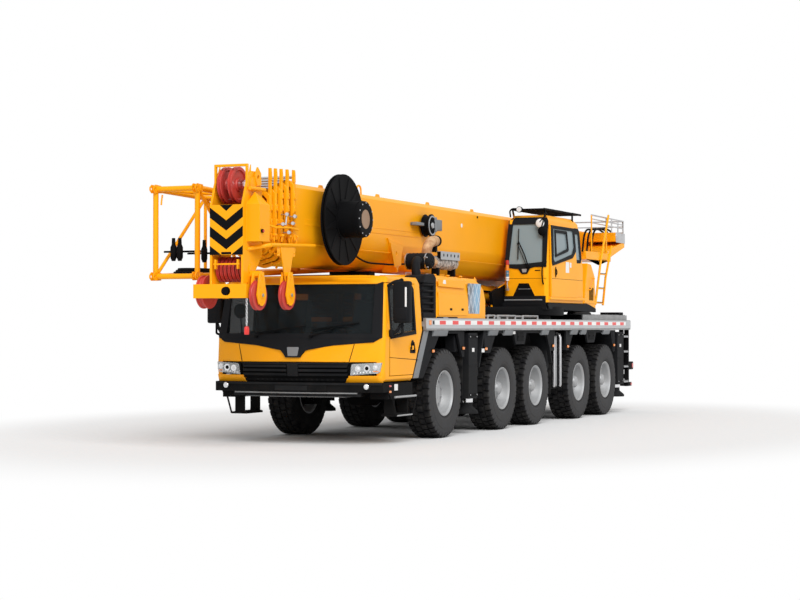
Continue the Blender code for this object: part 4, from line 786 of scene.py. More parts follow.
# Rear: crash bar, lamp boxes with red and amber lenses, striped boards, tow hitch and a ladder at each corner
refined("rear_bumper", BLACK)
stripes = Finish("striped_board", (0.9, 0.6, 0.02), 0.35)
_, sy, sz = stripes.place()
bands = ((sy + sz) * 4.2) % 1.0 < 0.5
stripes.set("Base Color", stripes.blend(bands, (0.88, 0.52, 0.02), (0.015, 0.015, 0.015)))
stripes.set("Roughness", 0.32 + stripes.noise(12, 4) * 0.15)
REAR_FACE = -9.8503
tail = Piece("rear_lamps_and_boards", BLACK)
for side in (1, -1):
    tail.use(stripes.material).block(
        (REAR_FACE - 0.068, REAR_FACE - 0.061), span(side, 0.965, 1.285), (1.02, 1.54), 0.002
    )
    tail.use(BLACK).block((REAR_FACE - 0.44, REAR_FACE - 0.05), span(side, 0.915, 1.305), (0.835, 0.995), 0.012)
    for i, lens in enumerate((LAMP_RED, AMBER, LAMP_RED, CLEAR)):
        y = 0.96 + i * 0.088
        tail.use(lens).block((REAR_FACE - 0.452, REAR_FACE - 0.436), span(side, y, y + 0.075), (0.86, 0.97), 0.006)
    tail.use(LAMP_RED).block((REAR_FACE - 0.42, REAR_FACE - 0.34), span(side, 1.303, 1.312), (0.87, 0.96), 0.004)
    tail.use(LAMP_RED).block((REAR_FACE - 0.41, REAR_FACE - 0.33), span(side, 1.276, 1.286), (0.515, 0.565), 0.004)
    tail.use(SILVER)
    for i in range(4):
        z = 0.60 + 0.30 * i
        tail.block((REAR_FACE, REAR_FACE + 0.30), span(side, 1.326, 1.334), (z - 0.014, z + 0.014), 0.003)
        tail.block((REAR_FACE - 0.045, REAR_FACE + 0.33), span(side, 1.262, 1.326), (z + 0.020, z + 0.026), 0.002)
tail.use(BLACK)
tail.round((REAR_FACE - 0.10, 0, 1.06), (REAR_FACE - 0.20, 0, 1.06), 0.09, sides=20, ease=0.008)
tail.use(STEEL).round((REAR_FACE - 0.16, 0, 1.00), (REAR_FACE - 0.16, 0, 1.16), 0.024, sides=14)
tail.use(WHITE).block((REAR_FACE - 0.136, REAR_FACE - 0.130), (-0.26, 0.26), (0.855, 0.965), 0.002)
tail.use(STEEL).nuts([(REAR_FACE - 0.10, y, z) for y in (-0.40, 0.40) for z in (0.70, 1.30)], (-1, 0, 0), 0.018, 0.014)
tail.done("carrier", "frame_black")

# Driver's cab: steel pressings in gloss yellow, two-colour front with a black garnish below the screen, a grille
# of three louvres, clear trapezoid headlamps and round fog lamps. The wide screen is laminated glass.
CAB_HALF = 1.35
CAB_FRONT = 2.50
CAB_REAR = 0.82
SWEEP = 0.20
BELT = 1.56
CAB_MIDDLE = (1.65, 0, 1.65)
refined(
    "cab", YELLOW, 0.008,
    [(CHARCOAL, (1.9, 2.2), (1.36, 1.70), (1.4, 2.5)), (CHARCOAL, (1.9, 2.2), (-1.70, -1.36), (1.4, 2.5))],
    (CHARCOAL, CAB_MIDDLE),
)
for side_name, side in (("left", 1), ("right", -1)):
    arm = (CHARCOAL, (1.8, 2.2), span(side, 1.372, 1.70), (1.4, 2.5))
    refined(f"cab_door_{side_name}", YELLOW, 0.005, [arm], (CHARCOAL, CAB_MIDDLE))


def glazing(name, tint, clear):
    """Tinted glass that shows what is behind it."""
    finish = Finish(name, tint, 0.03, Specular_IOR_Level=0.10)
    finish.set("Roughness", 0.02 + finish.noise(3, 3) * 0.03)
    finish.set("Alpha", clear)
    return finish.material


SCREEN_GLASS = glazing("screen_glass", (0.012, 0.016, 0.018), 0.60)
refined("cab_windscreen", SCREEN_GLASS, 0)


def front_at(y, z, out=0.0):
    """The cab's front surface at a width and height, so far out from it."""
    if z < 1.06:
        x = CAB_FRONT - 0.06 + 0.06 * (z - 0.90) / 0.16
    elif z < BELT:
        x = CAB_FRONT - 0.05 * (z - 1.06) / (BELT - 1.06)
    else:
        x = CAB_FRONT - 0.05 - 0.23 * (z - BELT) / 0.78
    return x - SWEEP * (y / CAB_HALF) ** 2 * min(1, ((x - CAB_REAR) / (CAB_FRONT - CAB_REAR))) ** 3 + out


def bumper_at(y, out):
    """The bumper's front surface at a width, so far out from it."""
    return CAB_FRONT + out - SWEEP * (y / CAB_HALF) ** 2


def front_panel(piece, outline, out=0.004, depth=0.02, cuts=18, ease=0.0):
    """A panel whose outline is given across and up the front, bent to the front's curve."""
    shape = sheet((0, y, z) for y, z in outline)
    low, high = min(y for y, z in outline), max(y for y, z in outline)
    sliced(shape, (0, 1, 0), [low + (high - low) * i / cuts for i in range(1, cuts)])
    for v in shape.verts:
        v.co.x = front_at(v.co.y, v.co.z, out)
    thickened(shape, (-depth, 0, 0))
    piece.add(shape, ease)


front = Piece("cab_front_trim", CHARCOAL)
garnish = [
    (-1.315, 1.545), (1.315, 1.545), (1.20, 1.475), (0.62, 1.430), (0.20, 1.360), (0.145, 1.300), (0.115, 1.255),
    (-0.115, 1.255), (-0.145, 1.300), (-0.20, 1.360), (-0.62, 1.430), (-1.20, 1.475),
]
front_panel(front, garnish, 0.006, 0.03, 30)
frame_low = rise_first(-1.31, 1.31, 1.60, 1.535)
front_panel(front, frame_low, 0.010, 0.03, 30)
for side in (1, -1):
    pillar = [(side * 1.318, 1.545), (side * 1.175, 1.545), (side * 1.150, 2.30), (side * 1.262, 2.34)]
    front_panel(front, pillar, 0.008, 0.03, 3)
front.use(GREY)
badge = [
    (-0.085, 1.405), (0.085, 1.405), (0.095, 1.395), (0.078, 1.285), (0.068, 1.275), (-0.068, 1.275),
    (-0.078, 1.285), (-0.095, 1.395)
]
front_panel(front, badge, 0.012, 0.02, 2, ease=0.003)
front.use(BLACK)
for side in (1, -1):
    seam = [(side * 0.925, 1.452), (side * 0.935, 1.452), (side * 0.868, 1.20), (side * 0.858, 1.20)]
    front_panel(front, seam, 0.0015, 0.02, 2)
surround = [(-0.90, 1.188), (0.90, 1.188), (0.865, 0.985), (0.80, 0.955), (-0.80, 0.955), (-0.865, 0.985)]
front_panel(front, surround, -0.030, 0.03, 24)
front.use(CHARCOAL)
for z in (0.995, 1.055, 1.115):
    for side in (1, -1):
        louvre = [(side * 0.10, z), (side * 0.83, z), (side * 0.845, z + 0.034), (side * 0.10, z + 0.034)]
        front_panel(front, louvre, 0.004, 0.05, 10)
front_panel(front, [(-0.845, 1.158), (0.845, 1.158), (0.87, 1.182), (-0.87, 1.182)], 0.006, 0.05, 24)
front_panel(front, flat_first(-0.085, 0.085, 0.985, 1.16), 0.010, 0.05, 2, ease=0.004)
front.use(BLACK)
front_panel(front, [(-0.80, 0.955), (0.80, 0.955), (0.86, 0.915), (-0.86, 0.915)], 0.004, 0.06, 24)
front.use(CHARCOAL)
for i in range(16):
    y = -0.60 + 0.08 * i
    front_panel(front, flat_first(y, y + 0.03, 0.925, 0.95), 0.008, 0.02, 1)
front.use(YELLOW)
for side in (1, -1):
    lip = [
        (side * 0.80, 0.900), (side * 1.315, 0.900), (side * 1.322, 1.000), (side * 0.885, 1.000),
        (side * 0.825, 0.955)
    ]
    front_panel(front, lip, 0.008, 0.06, 8, ease=0.003)
front.done("carrier", "crane_yellow")

# Headlamps: a clear polycarbonate cover over a bright housing with three round lamps and a row of small ones
lamp_cover = glazing("lamp_cover", (0.80, 0.84, 0.86), 0.25)
lamps = Piece("headlamps", CHROME)
for side in (1, -1):
    lamps.use(SILVER)
    housing = [
        (side * 0.885, 1.005), (side * 1.275, 1.035), (side * 1.305, 1.060), (side * 1.325, 1.185),
        (side * 0.925, 1.168), (side * 0.905, 1.150)
    ]
    front_panel(lamps, housing, 0.006, 0.05, 10)
    for y, z, r in ((1.00, 1.098, 0.046), (1.125, 1.105, 0.050), (1.245, 1.120, 0.040)):
        x = front_at(y, z, 0.018)
        lamps.use(CHROME).round((x - 0.03, side * y, z), (x + 0.002, side * y, z), r * 0.7, r, 20)
        lamps.use(BLACK if y == 1.125 else CLEAR).ball((x - 0.004, side * y, z), r * 0.62, (0.5, 1, 1))
    lamps.use(AMBER)
    for i in range(4):
        y, z = 1.215 + i * 0.022, 1.062
        x = front_at(y, z, 0.016)
        lamps.block((x - 0.01, x + 0.002), span(side, y - 0.009, y + 0.009), (z - 0.008, z + 0.008), 0.002)
    lamps.use(CLEAR)
    for i in range(7):
        y = 0.94 + i * 0.045
        z = 1.035 + i * 0.004
        lamps.ball((front_at(y, z, 0.010), side * y, z), 0.014, (0.6, 1, 1), 10)
    lamps.use(lamp_cover)
    front_panel(lamps, housing, 0.022, 0.004, 10)
    y, z = 1.13, 0.845
    x = bumper_at(y, 0.035)
    lamps.use(CHARCOAL).round((x - 0.05, side * y, z), (x + 0.012, side * y, z), 0.052, sides=24, ease=0.006)
    lamps.use(CHROME).round((x - 0.02, side * y, z), (x + 0.018, side * y, z), 0.040, sides=24, ease=0.004)
    lamps.use(CLEAR).ball((x + 0.012, side * y, z), 0.035, (0.35, 1, 1), 20)
lamps.done("carrier", "bright_metal")

# Front bumper and steps: black plastic over a steel beam, a grey skid plate with slots, box steps below the
# doors and a lower step on bent flat bars
refined("front_bumper", BLACK)
sill = Piece("bumper_trim", BLACK)


def bumper_strip(low, high, half, out, depth=0.05, finish=BLACK, cuts=20):
    sill.use(finish)
    shape = sheet(((0, -half, low), (0, half, low), (0, half, high), (0, -half, high)))
    sliced(shape, (0, 1, 0), [-half + 2 * half * i / cuts for i in range(1, cuts)])
    for v in shape.verts:
        v.co.x = bumper_at(v.co.y, out)
    thickened(shape, (-depth, 0, 0))
    sill.add(shape)


bumper_strip(0.865, 0.897, 1.34, 0.030, 0.05, CHARCOAL)
bumper_strip(0.775, 0.860, 0.55, 0.034, 0.03, BLACK)
bumper_strip(0.700, 0.752, 1.02, -0.020, 0.04, CHARCOAL)
bumper_strip(0.740, 0.760, 0.98, 0.010, 0.05, GREY)
bumper_strip(0.690, 0.706, 0.80, -0.030, 0.30, GREY)
sill.use(BLACK)
for y in (-0.80, -0.52, -0.24, 0.24, 0.52, 0.80):
    x = bumper_at(y, 0.010)
    sill.block((x - 0.02, x + 0.003), (y - 0.018, y + 0.018), (0.712, 0.742), 0.004)
# A charcoal block where the number plate sits: painted shade, because the plate lies unlit there.
sill.use(CHARCOAL).block((2.531, 2.537), (-0.26, 0.26), (0.785, 0.855), 0.002)
for side in (1, -1):
    sill.use(BLACK).slab(
        [(2.12, 0.885), (1.26, 0.885), (1.26, 0.70), (1.34, 0.655), (2.02, 0.655), (2.16, 0.78)], "y",
        *span(side, 1.341, 1.352), 0.003
    )
    sill.use(LAMP_RED).block((2.03, 2.10), span(side, 1.351, 1.357), (0.835, 0.862), 0.003)
    sill.use(AMBER).block((2.03, 2.10), span(side, 1.351, 1.357), (0.752, 0.782), 0.003)
    sill.use(WHITE).block((1.80, 1.92), span(side, 1.351, 1.355), (0.78, 0.872), 0.001)
    hanger = [(1.99, 0.70), (1.84, 0.415), (1.24, 0.415), (1.08, 0.70)]
    sill.use(BLACK).hose([(x, side * 1.345, z) for x, z in hanger], 0.014, False, 4)
    sill.use(SILVER).hose([(1.92, side * 1.362, 0.685), (1.16, side * 1.362, 0.685)], 0.016, False, 6)
    sill.use(CHARCOAL)
    for i in range(5):
        y = 1.12 + i * 0.045
        sill.block((1.31, 1.81), span(side, y - 0.012, y + 0.012), (0.431, 0.438), 0.002)
    sill.use(SILVER).hose([(1.83, side * 1.358, 0.415), (1.29, side * 1.358, 0.415)], 0.011, False, 6)
    sill.use(CHARCOAL)
    for i in range(6):
        sill.block((1.32 + i * 0.12, 1.40 + i * 0.12), span(side, 1.16, 1.33), (0.886, 0.891), 0.002)
sill.done("carrier", "frame_black")

# Doors: black window frames, recessed handles, rubber seams; the mirrors hang on black arms with two heads
for side_name, side in (("left", 1), ("right", -1)):
    trims = Piece(f"door_trim_{side_name}", CHARCOAL)

    def lean(z):
        """How far the side wall stands in above the belt."""
        return 0.06 * max(0.0, (z - BELT) / 0.88)

    def side_panel(outline, out, depth=0.012, ease=0.0):
        shape = sheet((x, side * (CAB_HALF - lean(z) + out), z) for x, z in outline)
        thickened(shape, (0, -side * depth, 0))
        trims.add(shape, ease)

    window = [(1.16, 1.64), (1.98, 1.58), (2.00, 2.19), (1.94, 2.25), (1.20, 2.25), (1.16, 2.21)]
    band = [(1.11, 1.59), (2.055, 1.52), (2.05, 2.24), (1.98, 2.30), (1.16, 2.30), (1.11, 2.25)]
    for i in range(6):
        j = (i + 1) % 6
        side_panel([band[i], band[j], window[j], window[i]], 0.006, 0.02)
    trims.use(glazing(f"door_glass_{side_name}", (0.02, 0.03, 0.033), 0.55))
    side_panel(window, -0.018, 0.004)
    trims.use(CHARCOAL)
    pocket = [(1.155, 1.31), (1.335, 1.31), (1.345, 1.34), (1.30, 1.47), (1.265, 1.50), (1.23, 1.50), (1.155, 1.36)]
    side_panel(pocket, 0.006, 0.010, 0.002)
    trims.use(BLACK)
    grip = [(1.20, 1.335), (1.27, 1.335), (1.275, 1.46), (1.245, 1.475)]
    side_panel(grip, 0.030, 0.014, 0.004)
    side_panel([(1.05, 1.205), (2.09, 1.255), (2.09, 1.262), (1.05, 1.212)], 0.0015)
    side_panel(flat_first(2.075, 2.083, 1.00, 1.56), 0.002)
    trims.use(CHARCOAL)
    trims.block((1.925, 2.075), span(side, 1.39, 1.64), (1.75, 2.35), 0.03, steps=3)
    trims.block((1.945, 2.085), span(side, 1.405, 1.625), (1.795, 1.97), 0.018, steps=2)
    trims.use(SILVER)
    trims.block((1.9195, 1.926), span(side, 1.42, 1.61), (2.02, 2.31), 0.004)
    trims.block((1.9195, 1.926), span(side, 1.42, 1.61), (1.79, 1.95), 0.004)
    trims.use(WHITE).block((2.074, 2.081), span(side, 1.585, 1.612), (1.98, 2.26), 0.003)
    trims.use(CHARCOAL)
    trims.hose([(2.045, side * 1.30, 2.28), (2.03, side * 1.42, 2.345), (2.00, side * 1.50, 2.355)], 0.022, True, 5)
    trims.hose([(2.05, side * 1.34, 1.60), (2.03, side * 1.42, 1.62), (2.00, side * 1.50, 1.74)], 0.024, True, 5)
    trims.block((2.00, 2.10), span(side, 1.335, 1.40), (1.545, 1.66), 0.02, steps=2)
    trims.done(f"cab_door_{side_name}", "crane_yellow")

# Roof and front fittings: two wipers of black steel with long rubber blades on the screen, a yellow drip rail
# above it and a low plastic hatch on the roof. Bolted on from outside.
top = Piece("cab_fittings", BLACK)


def screen_at(y, z, out=0.0):
    return (front_at(y, z, out - 0.006), y, z)


for y0, y1, z1 in ((0.28, 0.98, 1.70), (-0.62, 0.18, 1.66)):
    top.use(BLACK).round(screen_at(y0, 1.555, -0.01), screen_at(y0, 1.555, 0.045), 0.024, sides=14)
    middle = (y0 + y1) / 2
    top.hose(
        [screen_at(y0, 1.56, 0.035), screen_at(y0 + 0.12, 1.60, 0.045), screen_at(middle, z1 - 0.02, 0.040)], 0.009,
        True
    )
    top.hose(
        [screen_at(y0 + 0.02, z1 - 0.05, 0.022), screen_at(middle, z1, 0.028), screen_at(y1, z1 + 0.05, 0.022)],
        0.010, True
    )
    top.hose(
        [screen_at(y0 + 0.02, z1 - 0.05, 0.012), screen_at(middle, z1, 0.016), screen_at(y1, z1 + 0.05, 0.012)],
        0.006, True
    )
top.use(YELLOW)
top.hose(
    [(2.21, -1.12, 2.412), (2.25, -0.5, 2.418), (2.26, 0, 2.42), (2.25, 0.5, 2.418), (2.21, 1.12, 2.412)], 0.016,
    True
)
top.use(CHARCOAL)
top.block((1.2, 1.9), (-0.35, 0.35), (2.435, 2.458), 0.012, steps=2)
top.done("carrier", "frame_black")

# Cab interior: moulded floor and dash with small grey panels, two seats covered in woven cloth, a three-spoke
# steering wheel, and a round fan with its guard on a post at the right.
refined("cab_interior", CHARCOAL)
WEAVE = 900
cloth = Finish("seat_cloth", (0.05, 0.05, 0.055), 0.9, Sheen_Weight=0.4)
weave_x, weave_y, weave_z = cloth.place()
threads = cloth.maths("SINE", weave_y * WEAVE) * cloth.maths("SINE", (weave_z + weave_x) * WEAVE)
cloth.set("Base Color", cloth.blend(cloth.ramp(threads, -0.6, 0.6), (0.035, 0.036, 0.04), (0.075, 0.076, 0.08)))
cloth.set("Roughness", 0.85 + cloth.noise(8, 2) * 0.1)
cloth.bump(threads, 0.3, 0.0008)
inside = Piece("cab_dash_and_wheel", CHARCOAL)
rim_points = [(math.cos(a), math.sin(a)) for a in (math.tau * i / 28 for i in range(29))]
tilt = Matrix.Translation((1.91, 0.62, 1.575)) @ Matrix.Rotation(math.radians(-28), 4, "Y")
inside.hose([tilt @ Vector((0.205 * c, 0.205 * s, 0.02)) for c, s in rim_points], 0.014, True, 5)
for a in (0, 2.2, 4.08):
    inside.hose(
        [tilt @ Vector((0, 0, -0.02)), tilt @ Vector((0.2 * math.cos(a), 0.2 * math.sin(a), 0.02))], 0.012, False
    )
inside.ball(tilt @ Vector((0, 0, -0.01)), 0.055, (1, 1, 0.5))
inside.block((2.03, 2.14), (0.42, 0.82), (1.44, 1.50), 0.02, steps=2)
inside.block((2.02, 2.10), (-0.25, 0.20), (1.20, 1.44), 0.015)
inside.use(BLACK)
inside.turned(
    [(0, 0.0), (0, 0.10), (0.03, 0.112), (0.05, 0.10), (0.05, 0.09), (0.02, 0.09), (0.02, 0.0)], "x",
    (2.01, -1.09, 1.93), 24
)
for i in range(5):
    inside.hose([(2.055, -1.18 + 0.036 * (i + 0.5), 1.86), (2.055, -1.18 + 0.036 * (i + 0.5), 2.00)], 0.003, False)
inside.hose([(2.03, -1.04, 1.42), (2.03, -1.09, 1.84)], 0.010, False)
inside.use(GREY)
for y in (-0.80, -0.30, 0.10):
    inside.block((2.125, 2.15), (y, y + 0.16), (1.38, 1.45), 0.004)
inside.done("carrier", "cab_trim")
for seat_name, y in (("driver", 0.62), ("mate", -0.62)):
    for part in ("seat", "back"):
        pad = Piece(f"{seat_name}_{part}_pad", cloth.material)
        if part == "seat":
            pad.block((1.27, 1.69), (y - 0.245, y + 0.245), (1.33, 1.455), 0.05, steps=4)
        else:
            outline = [(1.36, 1.47), (1.365, 1.50), (1.235, 2.06), (1.20, 2.085), (1.155, 2.07), (1.26, 1.48)]
            pad.slab(outline, "y", y - 0.225, y + 0.225, 0.03, steps=3)
        made = pad.done("carrier", "cab_trim")

# Engine hood: pressed steel doors in gloss yellow round the engine, with a swage along each side, a lacquered
# panel of blue and grey scales at the rear corners, a black foot and blank plates. Each side has two black handles.
HOOD_SIDE = 1.325
HOOD_FRONT = 0.24
HOOD_REAR = -1.86
HOOD_TOP = 2.49
refined("engine_hood", YELLOW, 0.010)


def scale_pattern():
    """Slanting scales in blue and grey with pale joints between them."""
    finish = Finish("scale_lacquer", (0.10, 0.22, 0.38), 0.3, Coat_Weight=0.4)
    x, y, z = finish.place()
    one = (x + z * 0.6) / 0.17 + 20.0
    two = (x - z * 0.6) / 0.17 + 20.0
    joint = finish.maths("MINIMUM", one % 1.0, two % 1.0)
    tone = finish.ramp(finish.noise(3, 1), 0.35, 0.65)
    blues = finish.blend(tone, (0.04, 0.12, 0.24), (0.14, 0.32, 0.48))
    greys = finish.blend(tone, (0.05, 0.06, 0.08), (0.16, 0.20, 0.26))
    base = finish.blend(finish.ramp(x - FRONT_AXLE, -1.40, -1.15), blues, greys)
    finish.set("Base Color", finish.blend(1.0 - finish.ramp(joint, 0.08, 0.13), base, (0.50, 0.57, 0.62)))
    return finish.material


SCALES = scale_pattern()
hood = Piece("hood_panels", YELLOW)
upper_door = [(0.20, 2.315), (-0.86, 2.295), (-0.93, 2.40), (-0.93, 2.42), (0.20, 2.42)]
lower_door = [(0.20, 1.87), (0.20, 2.225), (-0.95, 2.20), (-0.99, 2.15), (-0.99, 1.87)]
for outline in (upper_door, lower_door):
    hood.slab(outline, "y", HOOD_SIDE - 0.006, HOOD_SIDE + 0.009, ease=0.006, both=True)
hood.use(SCALES)
scaled = [(-1.03, 2.46), (-1.60, 2.40), (-1.57, 2.20), (-1.53, 1.906), (-1.06, 1.906)]
hood.slab([(x, min(z, 2.385)) for x, z in scaled], "y", HOOD_SIDE - 0.004, HOOD_SIDE + 0.003, ease=0.001, both=True)
hood.use(BLACK)
hood.slab(
    [(0.235, 1.782), (-0.62, 1.782), (-0.56, 1.85), (0.235, 1.85)], "y", HOOD_SIDE - 0.01, HOOD_SIDE + 0.012,
    both=True
)
for x in (-0.30, -0.78):
    hood.block((x - 0.045, x + 0.045), (HOOD_SIDE - 0.004, HOOD_SIDE + 0.016), (1.95, 1.985), 0.006, both=True)
hood.use(WHITE)
hood.block((0.02, -0.17), (HOOD_SIDE + 0.01, HOOD_SIDE + 0.0145), (1.795, 1.838), 0.001, both=True)
hood.slab(
    [(0.03, 2.36), (-0.09, 2.352), (-0.075, 2.415), (0.01, 2.415)], "y", HOOD_SIDE + 0.005, HOOD_SIDE + 0.011,
    both=True
)
# hinges, the centre rib and the side panels of the top, a lifting eye at each rear corner, grab rails
hood.use(YELLOW)
for x in (0.02, -0.52, -1.06):
    hood.round((x - 0.05, 1.19, HOOD_TOP + 0.004), (x + 0.05, 1.19, HOOD_TOP + 0.004), 0.012, sides=10, both=True)
hood.slab(rise_first(0.12, -1.50, -0.10, 0.10), "z", HOOD_TOP - 0.004, HOOD_TOP + 0.012, ease=0.006)
hood.slab(rise_first(0.10, -1.42, 0.30, 0.98), "z", HOOD_TOP - 0.004, HOOD_TOP + 0.008, ease=0.006, both=True)
hood.plate(
    [(-1.66, 2.38), (-1.84, 2.28), (-1.80, 2.46), (-1.72, 2.50)], [(-1.765, 2.43, 0.022)], "y", 1.16, 1.175, both=True
)
hood.use(STEEL)
for x in (-0.30, -1.10):
    hood.hose(
        [
            (x + 0.12, 0.62, HOOD_TOP), (x + 0.12, 0.62, HOOD_TOP + 0.05), (x - 0.12, 0.62, HOOD_TOP + 0.05),
            (x - 0.12, 0.62, HOOD_TOP)
        ],
        0.008, False, 4, both=True,
    )
hood.done("carrier", "crane_yellow")

# Rear grille of the hood and the front bulkhead behind the cab: black steel slats in a frame.
grille = Piece("hood_grilles", BLACK)
for x, low, high in ((HOOD_REAR, 1.88, 2.16), (HOOD_FRONT, 1.88, 2.36)):
    out = 1 if x > 0 else -1
    for y in (-0.46, 0.46):
        grille.block((x, x + out * 0.008), (y - 0.40, y + 0.40), (low - 0.03, high + 0.03), 0.003)
        for i in range(int((high - low) / 0.045)):
            z = low + 0.02 + i * 0.045
            grille.slab(
                [
                    (x + out * 0.006, z), (x + out * 0.020, z + 0.022), (x + out * 0.020, z + 0.028),
                    (x + out * 0.006, z + 0.030)
                ],
                "y", y - 0.37, y + 0.37, 0.001,
            )
grille.done("carrier")

# Air intake: a black moulded tower with open louvres beside the cab, a duct and a round cleaner with a clipped cap.
TOWER_FRONT = 0.74
TOWER_IN = 0.96
TOWER_OUT = 1.31
FILTER_X = -0.07
FILTER = (FILTER_X, 0, 2.71)
intake = Piece("air_intake", CHARCOAL)
back = HOOD_FRONT + 0.008
tower = [(TOWER_FRONT, 1.777), (TOWER_FRONT, 2.36), (0.66, 2.47), (0.30, 2.50), (back, 2.44), (back, 1.777)]
intake.slab([(min(x, TOWER_FRONT - 0.03), z) for x, z in tower], "y", TOWER_IN, TOWER_OUT - 0.045, 0.02)
intake.slab([(back, 1.777), (back, 2.44), (0.32, 2.497), (0.34, 2.40), (0.34, 1.777)], "y", 1.24, TOWER_OUT, 0.006)
intake.slab([(0.33, 2.35), (0.33, 2.497), (0.66, 2.47), (TOWER_FRONT, 2.36)], "y", 1.24, TOWER_OUT, 0.006)
intake.slab(rise_first(0.33, TOWER_FRONT, 1.777, 1.91), "y", 1.24, TOWER_OUT, 0.006)
for i in range(5):
    z = 1.955 + 0.093 * i
    intake.slab(
        [(1.262, z - 0.030), (TOWER_OUT, z), (TOWER_OUT, z + 0.020), (1.262, z + 0.004)], "x", 0.335,
        TOWER_FRONT - 0.004, 0.004
    )
intake.turned(
    [
        (0.68, 0.0), (0.68, 0.085), (0.71, 0.12), (0.74, 0.125), (1.06, 0.125), (1.09, 0.118), (1.12, 0.09),
        (1.12, 0.0)
    ],
    "y", FILTER, 40
)
for y in (0.74, 0.80, 0.86, 0.92, 0.98):
    intake.turned(rise_first(y, y + 0.014, 0.12, 0.1285), "y", FILTER, 40)
for a, b in circle(8, 0.06):
    place = Vector((FILTER_X + a, 1.122, 2.71 + b))
    intake.round(place - Vector((0, 0.012, 0)), place + Vector((0, 0.006, 0)), 0.020, 0.014, 10)
intake.turned([(1.12, 0.0), (1.12, 0.03), (1.134, 0.022), (1.134, 0.0)], "y", FILTER, 24)
intake.hose([(0.44, 1.08, 2.38), (0.40, 1.04, 2.58), (0.24, 0.98, 2.70), (FILTER_X + 0.06, 0.92, 2.71)], 0.068, True, 7)
intake.use(STEEL)
for y in (1.03, 0.70):
    intake.turned(rise_first(y, y + 0.018, 0.12, 0.1295), "y", FILTER, 40)
for turn in (0.4, 2.2, 4.0, 5.4):
    x, z = FILTER_X + 0.128 * math.cos(turn), 2.71 + 0.128 * math.sin(turn)
    intake.block((x - 0.012, x + 0.012), (1.02, 1.085), (z - 0.010, z + 0.010), 0.004)
intake.done("carrier", "frame_black", ("exhaust_and_intake",))

# Exhaust: a lagged silencer under a drilled heat shield of bright sheet, and a heat-stained pipe whose open mouth
# points back.
def lagging():
    finish = Finish("lagging", (0.32, 0.30, 0.28), 0.9)
    patches = finish.noise(16, 6, 0.7)
    finish.set("Base Color", finish.blend(finish.ramp(patches, 0.38, 0.62), (0.12, 0.10, 0.09), (0.50, 0.46, 0.42)))
    finish.bump(finish.noise(40, 5, 0.7), 1.0, 0.012)
    return finish.material


def heat_stain():
    finish = Finish("heat_stain", (0.50, 0.30, 0.15), 0.6, Metallic=0.3)
    patches = finish.noise(7, 6, 0.65)
    finish.set("Base Color", finish.blend(finish.ramp(patches, 0.35, 0.65), (0.60, 0.38, 0.20), (0.36, 0.17, 0.07)))
    finish.set("Roughness", 0.5 + patches * 0.3)
    finish.bump(finish.noise(90, 3), 0.25, 0.001)
    return finish.material


SILENCER = (0, 1.02, 2.70)
exhaust = Piece("exhaust", lagging())
exhaust.turned(
    [(-1.17, 0.0), (-1.17, 0.08), (-1.14, 0.104), (-0.42, 0.104), (-0.38, 0.08), (-0.38, 0.0)], "x", SILENCER, 28
)
for x in (-1.00, -0.76, -0.54):
    exhaust.turned(rise_first(x, x + 0.03, 0.10, 0.112), "x", SILENCER, 28)
exhaust.use(SILVER)
vents = [(-0.50 - 0.15 * i, 2.815, 0.026) for i in range(5)]
exhaust.plate(rise_first(-0.38, -1.17, 2.745, 2.872), vents, "y", 1.128, 1.134, 0.001)
exhaust.slab(rise_first(-0.38, -1.17, 0.93, 1.13), "z", 2.868, 2.874, 0.001)
exhaust.slab(flat_first(0.93, 1.13, 2.745, 2.872), "x", -1.176, -1.17, 0.001)
exhaust.use(BLACK)
exhaust.block((-1.14, -0.40), (1.06, 1.12), (2.76, 2.862), 0.004)
exhaust.block((-0.46, -0.40), (0.96, 1.08), (2.495, 2.62), 0.006)
exhaust.block((-1.12, -1.06), (0.96, 1.08), (2.495, 2.62), 0.006)
exhaust.use(heat_stain())
bend = [(-0.12, 0.99, 2.70), (-0.115, 1.0, 2.84), (-0.17, 1.005, 2.955), (-0.29, 1.01, 3.02), (-0.44, 1.02, 3.035)]
exhaust.hose(bend, 0.079, True, 8)
exhaust.hose([(-0.12, 0.99, 2.72), (-0.22, 1.0, 2.70), (-0.40, 1.02, 2.70)], 0.062, True, 7)
for start, end in (((-0.116, 0.995, 2.775), (-0.114, 0.997, 2.80)), ((-0.30, 1.01, 3.020), (-0.325, 1.012, 3.024))):
    exhaust.round(start, end, 0.086, sides=28)
exhaust.use(BLACK)
exhaust.round((-0.435, 1.0195, 3.0345), (-0.475, 1.022, 3.037), 0.086, 0.088, 28)
exhaust.block((-0.43, -0.36), (0.985, 1.055), (2.86, 2.96), 0.005)
exhaust.done("carrier")

# Superstructure: welded plate in gloss yellow on a black slewing ring with its bolts, a black sill below the
# operator's cab, galvanised guard rails and tail plates, walkway tread, a cooler on the right and steel pipes.
SLEW_X = -5.40
TAIL = -10.30
refined(
    "superstructure_frame", YELLOW, 0.006,
    [
        (BLACK, (-6.85, -3.95), (-1.4, 1.4), (1.88, 2.052)),
        (CHARCOAL, (-7.25, -4.80), (0.46, 1.34), (1.99, 2.14)),
        (STEEL, (-10.4, -7.70), (-1.24, 1.219), (3.635, 3.95)),
        (SILVER, (-10.32, -9.68), (1.10, 1.13), (3.43, 3.61)),
        (SILVER, (-10.32, -9.68), (-1.13, -1.10), (3.43, 3.61)),
    ],
)
upper_trim = Piece("superstructure_fittings", BLACK)
RING_BOLTS, RING_RADIUS = 40, 1.28
for a, b in circle(RING_BOLTS, RING_RADIUS):
    place = Vector((SLEW_X + a, b, 2.05))
    if abs(place.y) > 0.52 and not (place.y > 0.44 and place.x > -7.24):
        upper_trim.round(place, place + Vector((0, 0, 0.028)), 0.022, 0.020, 6)
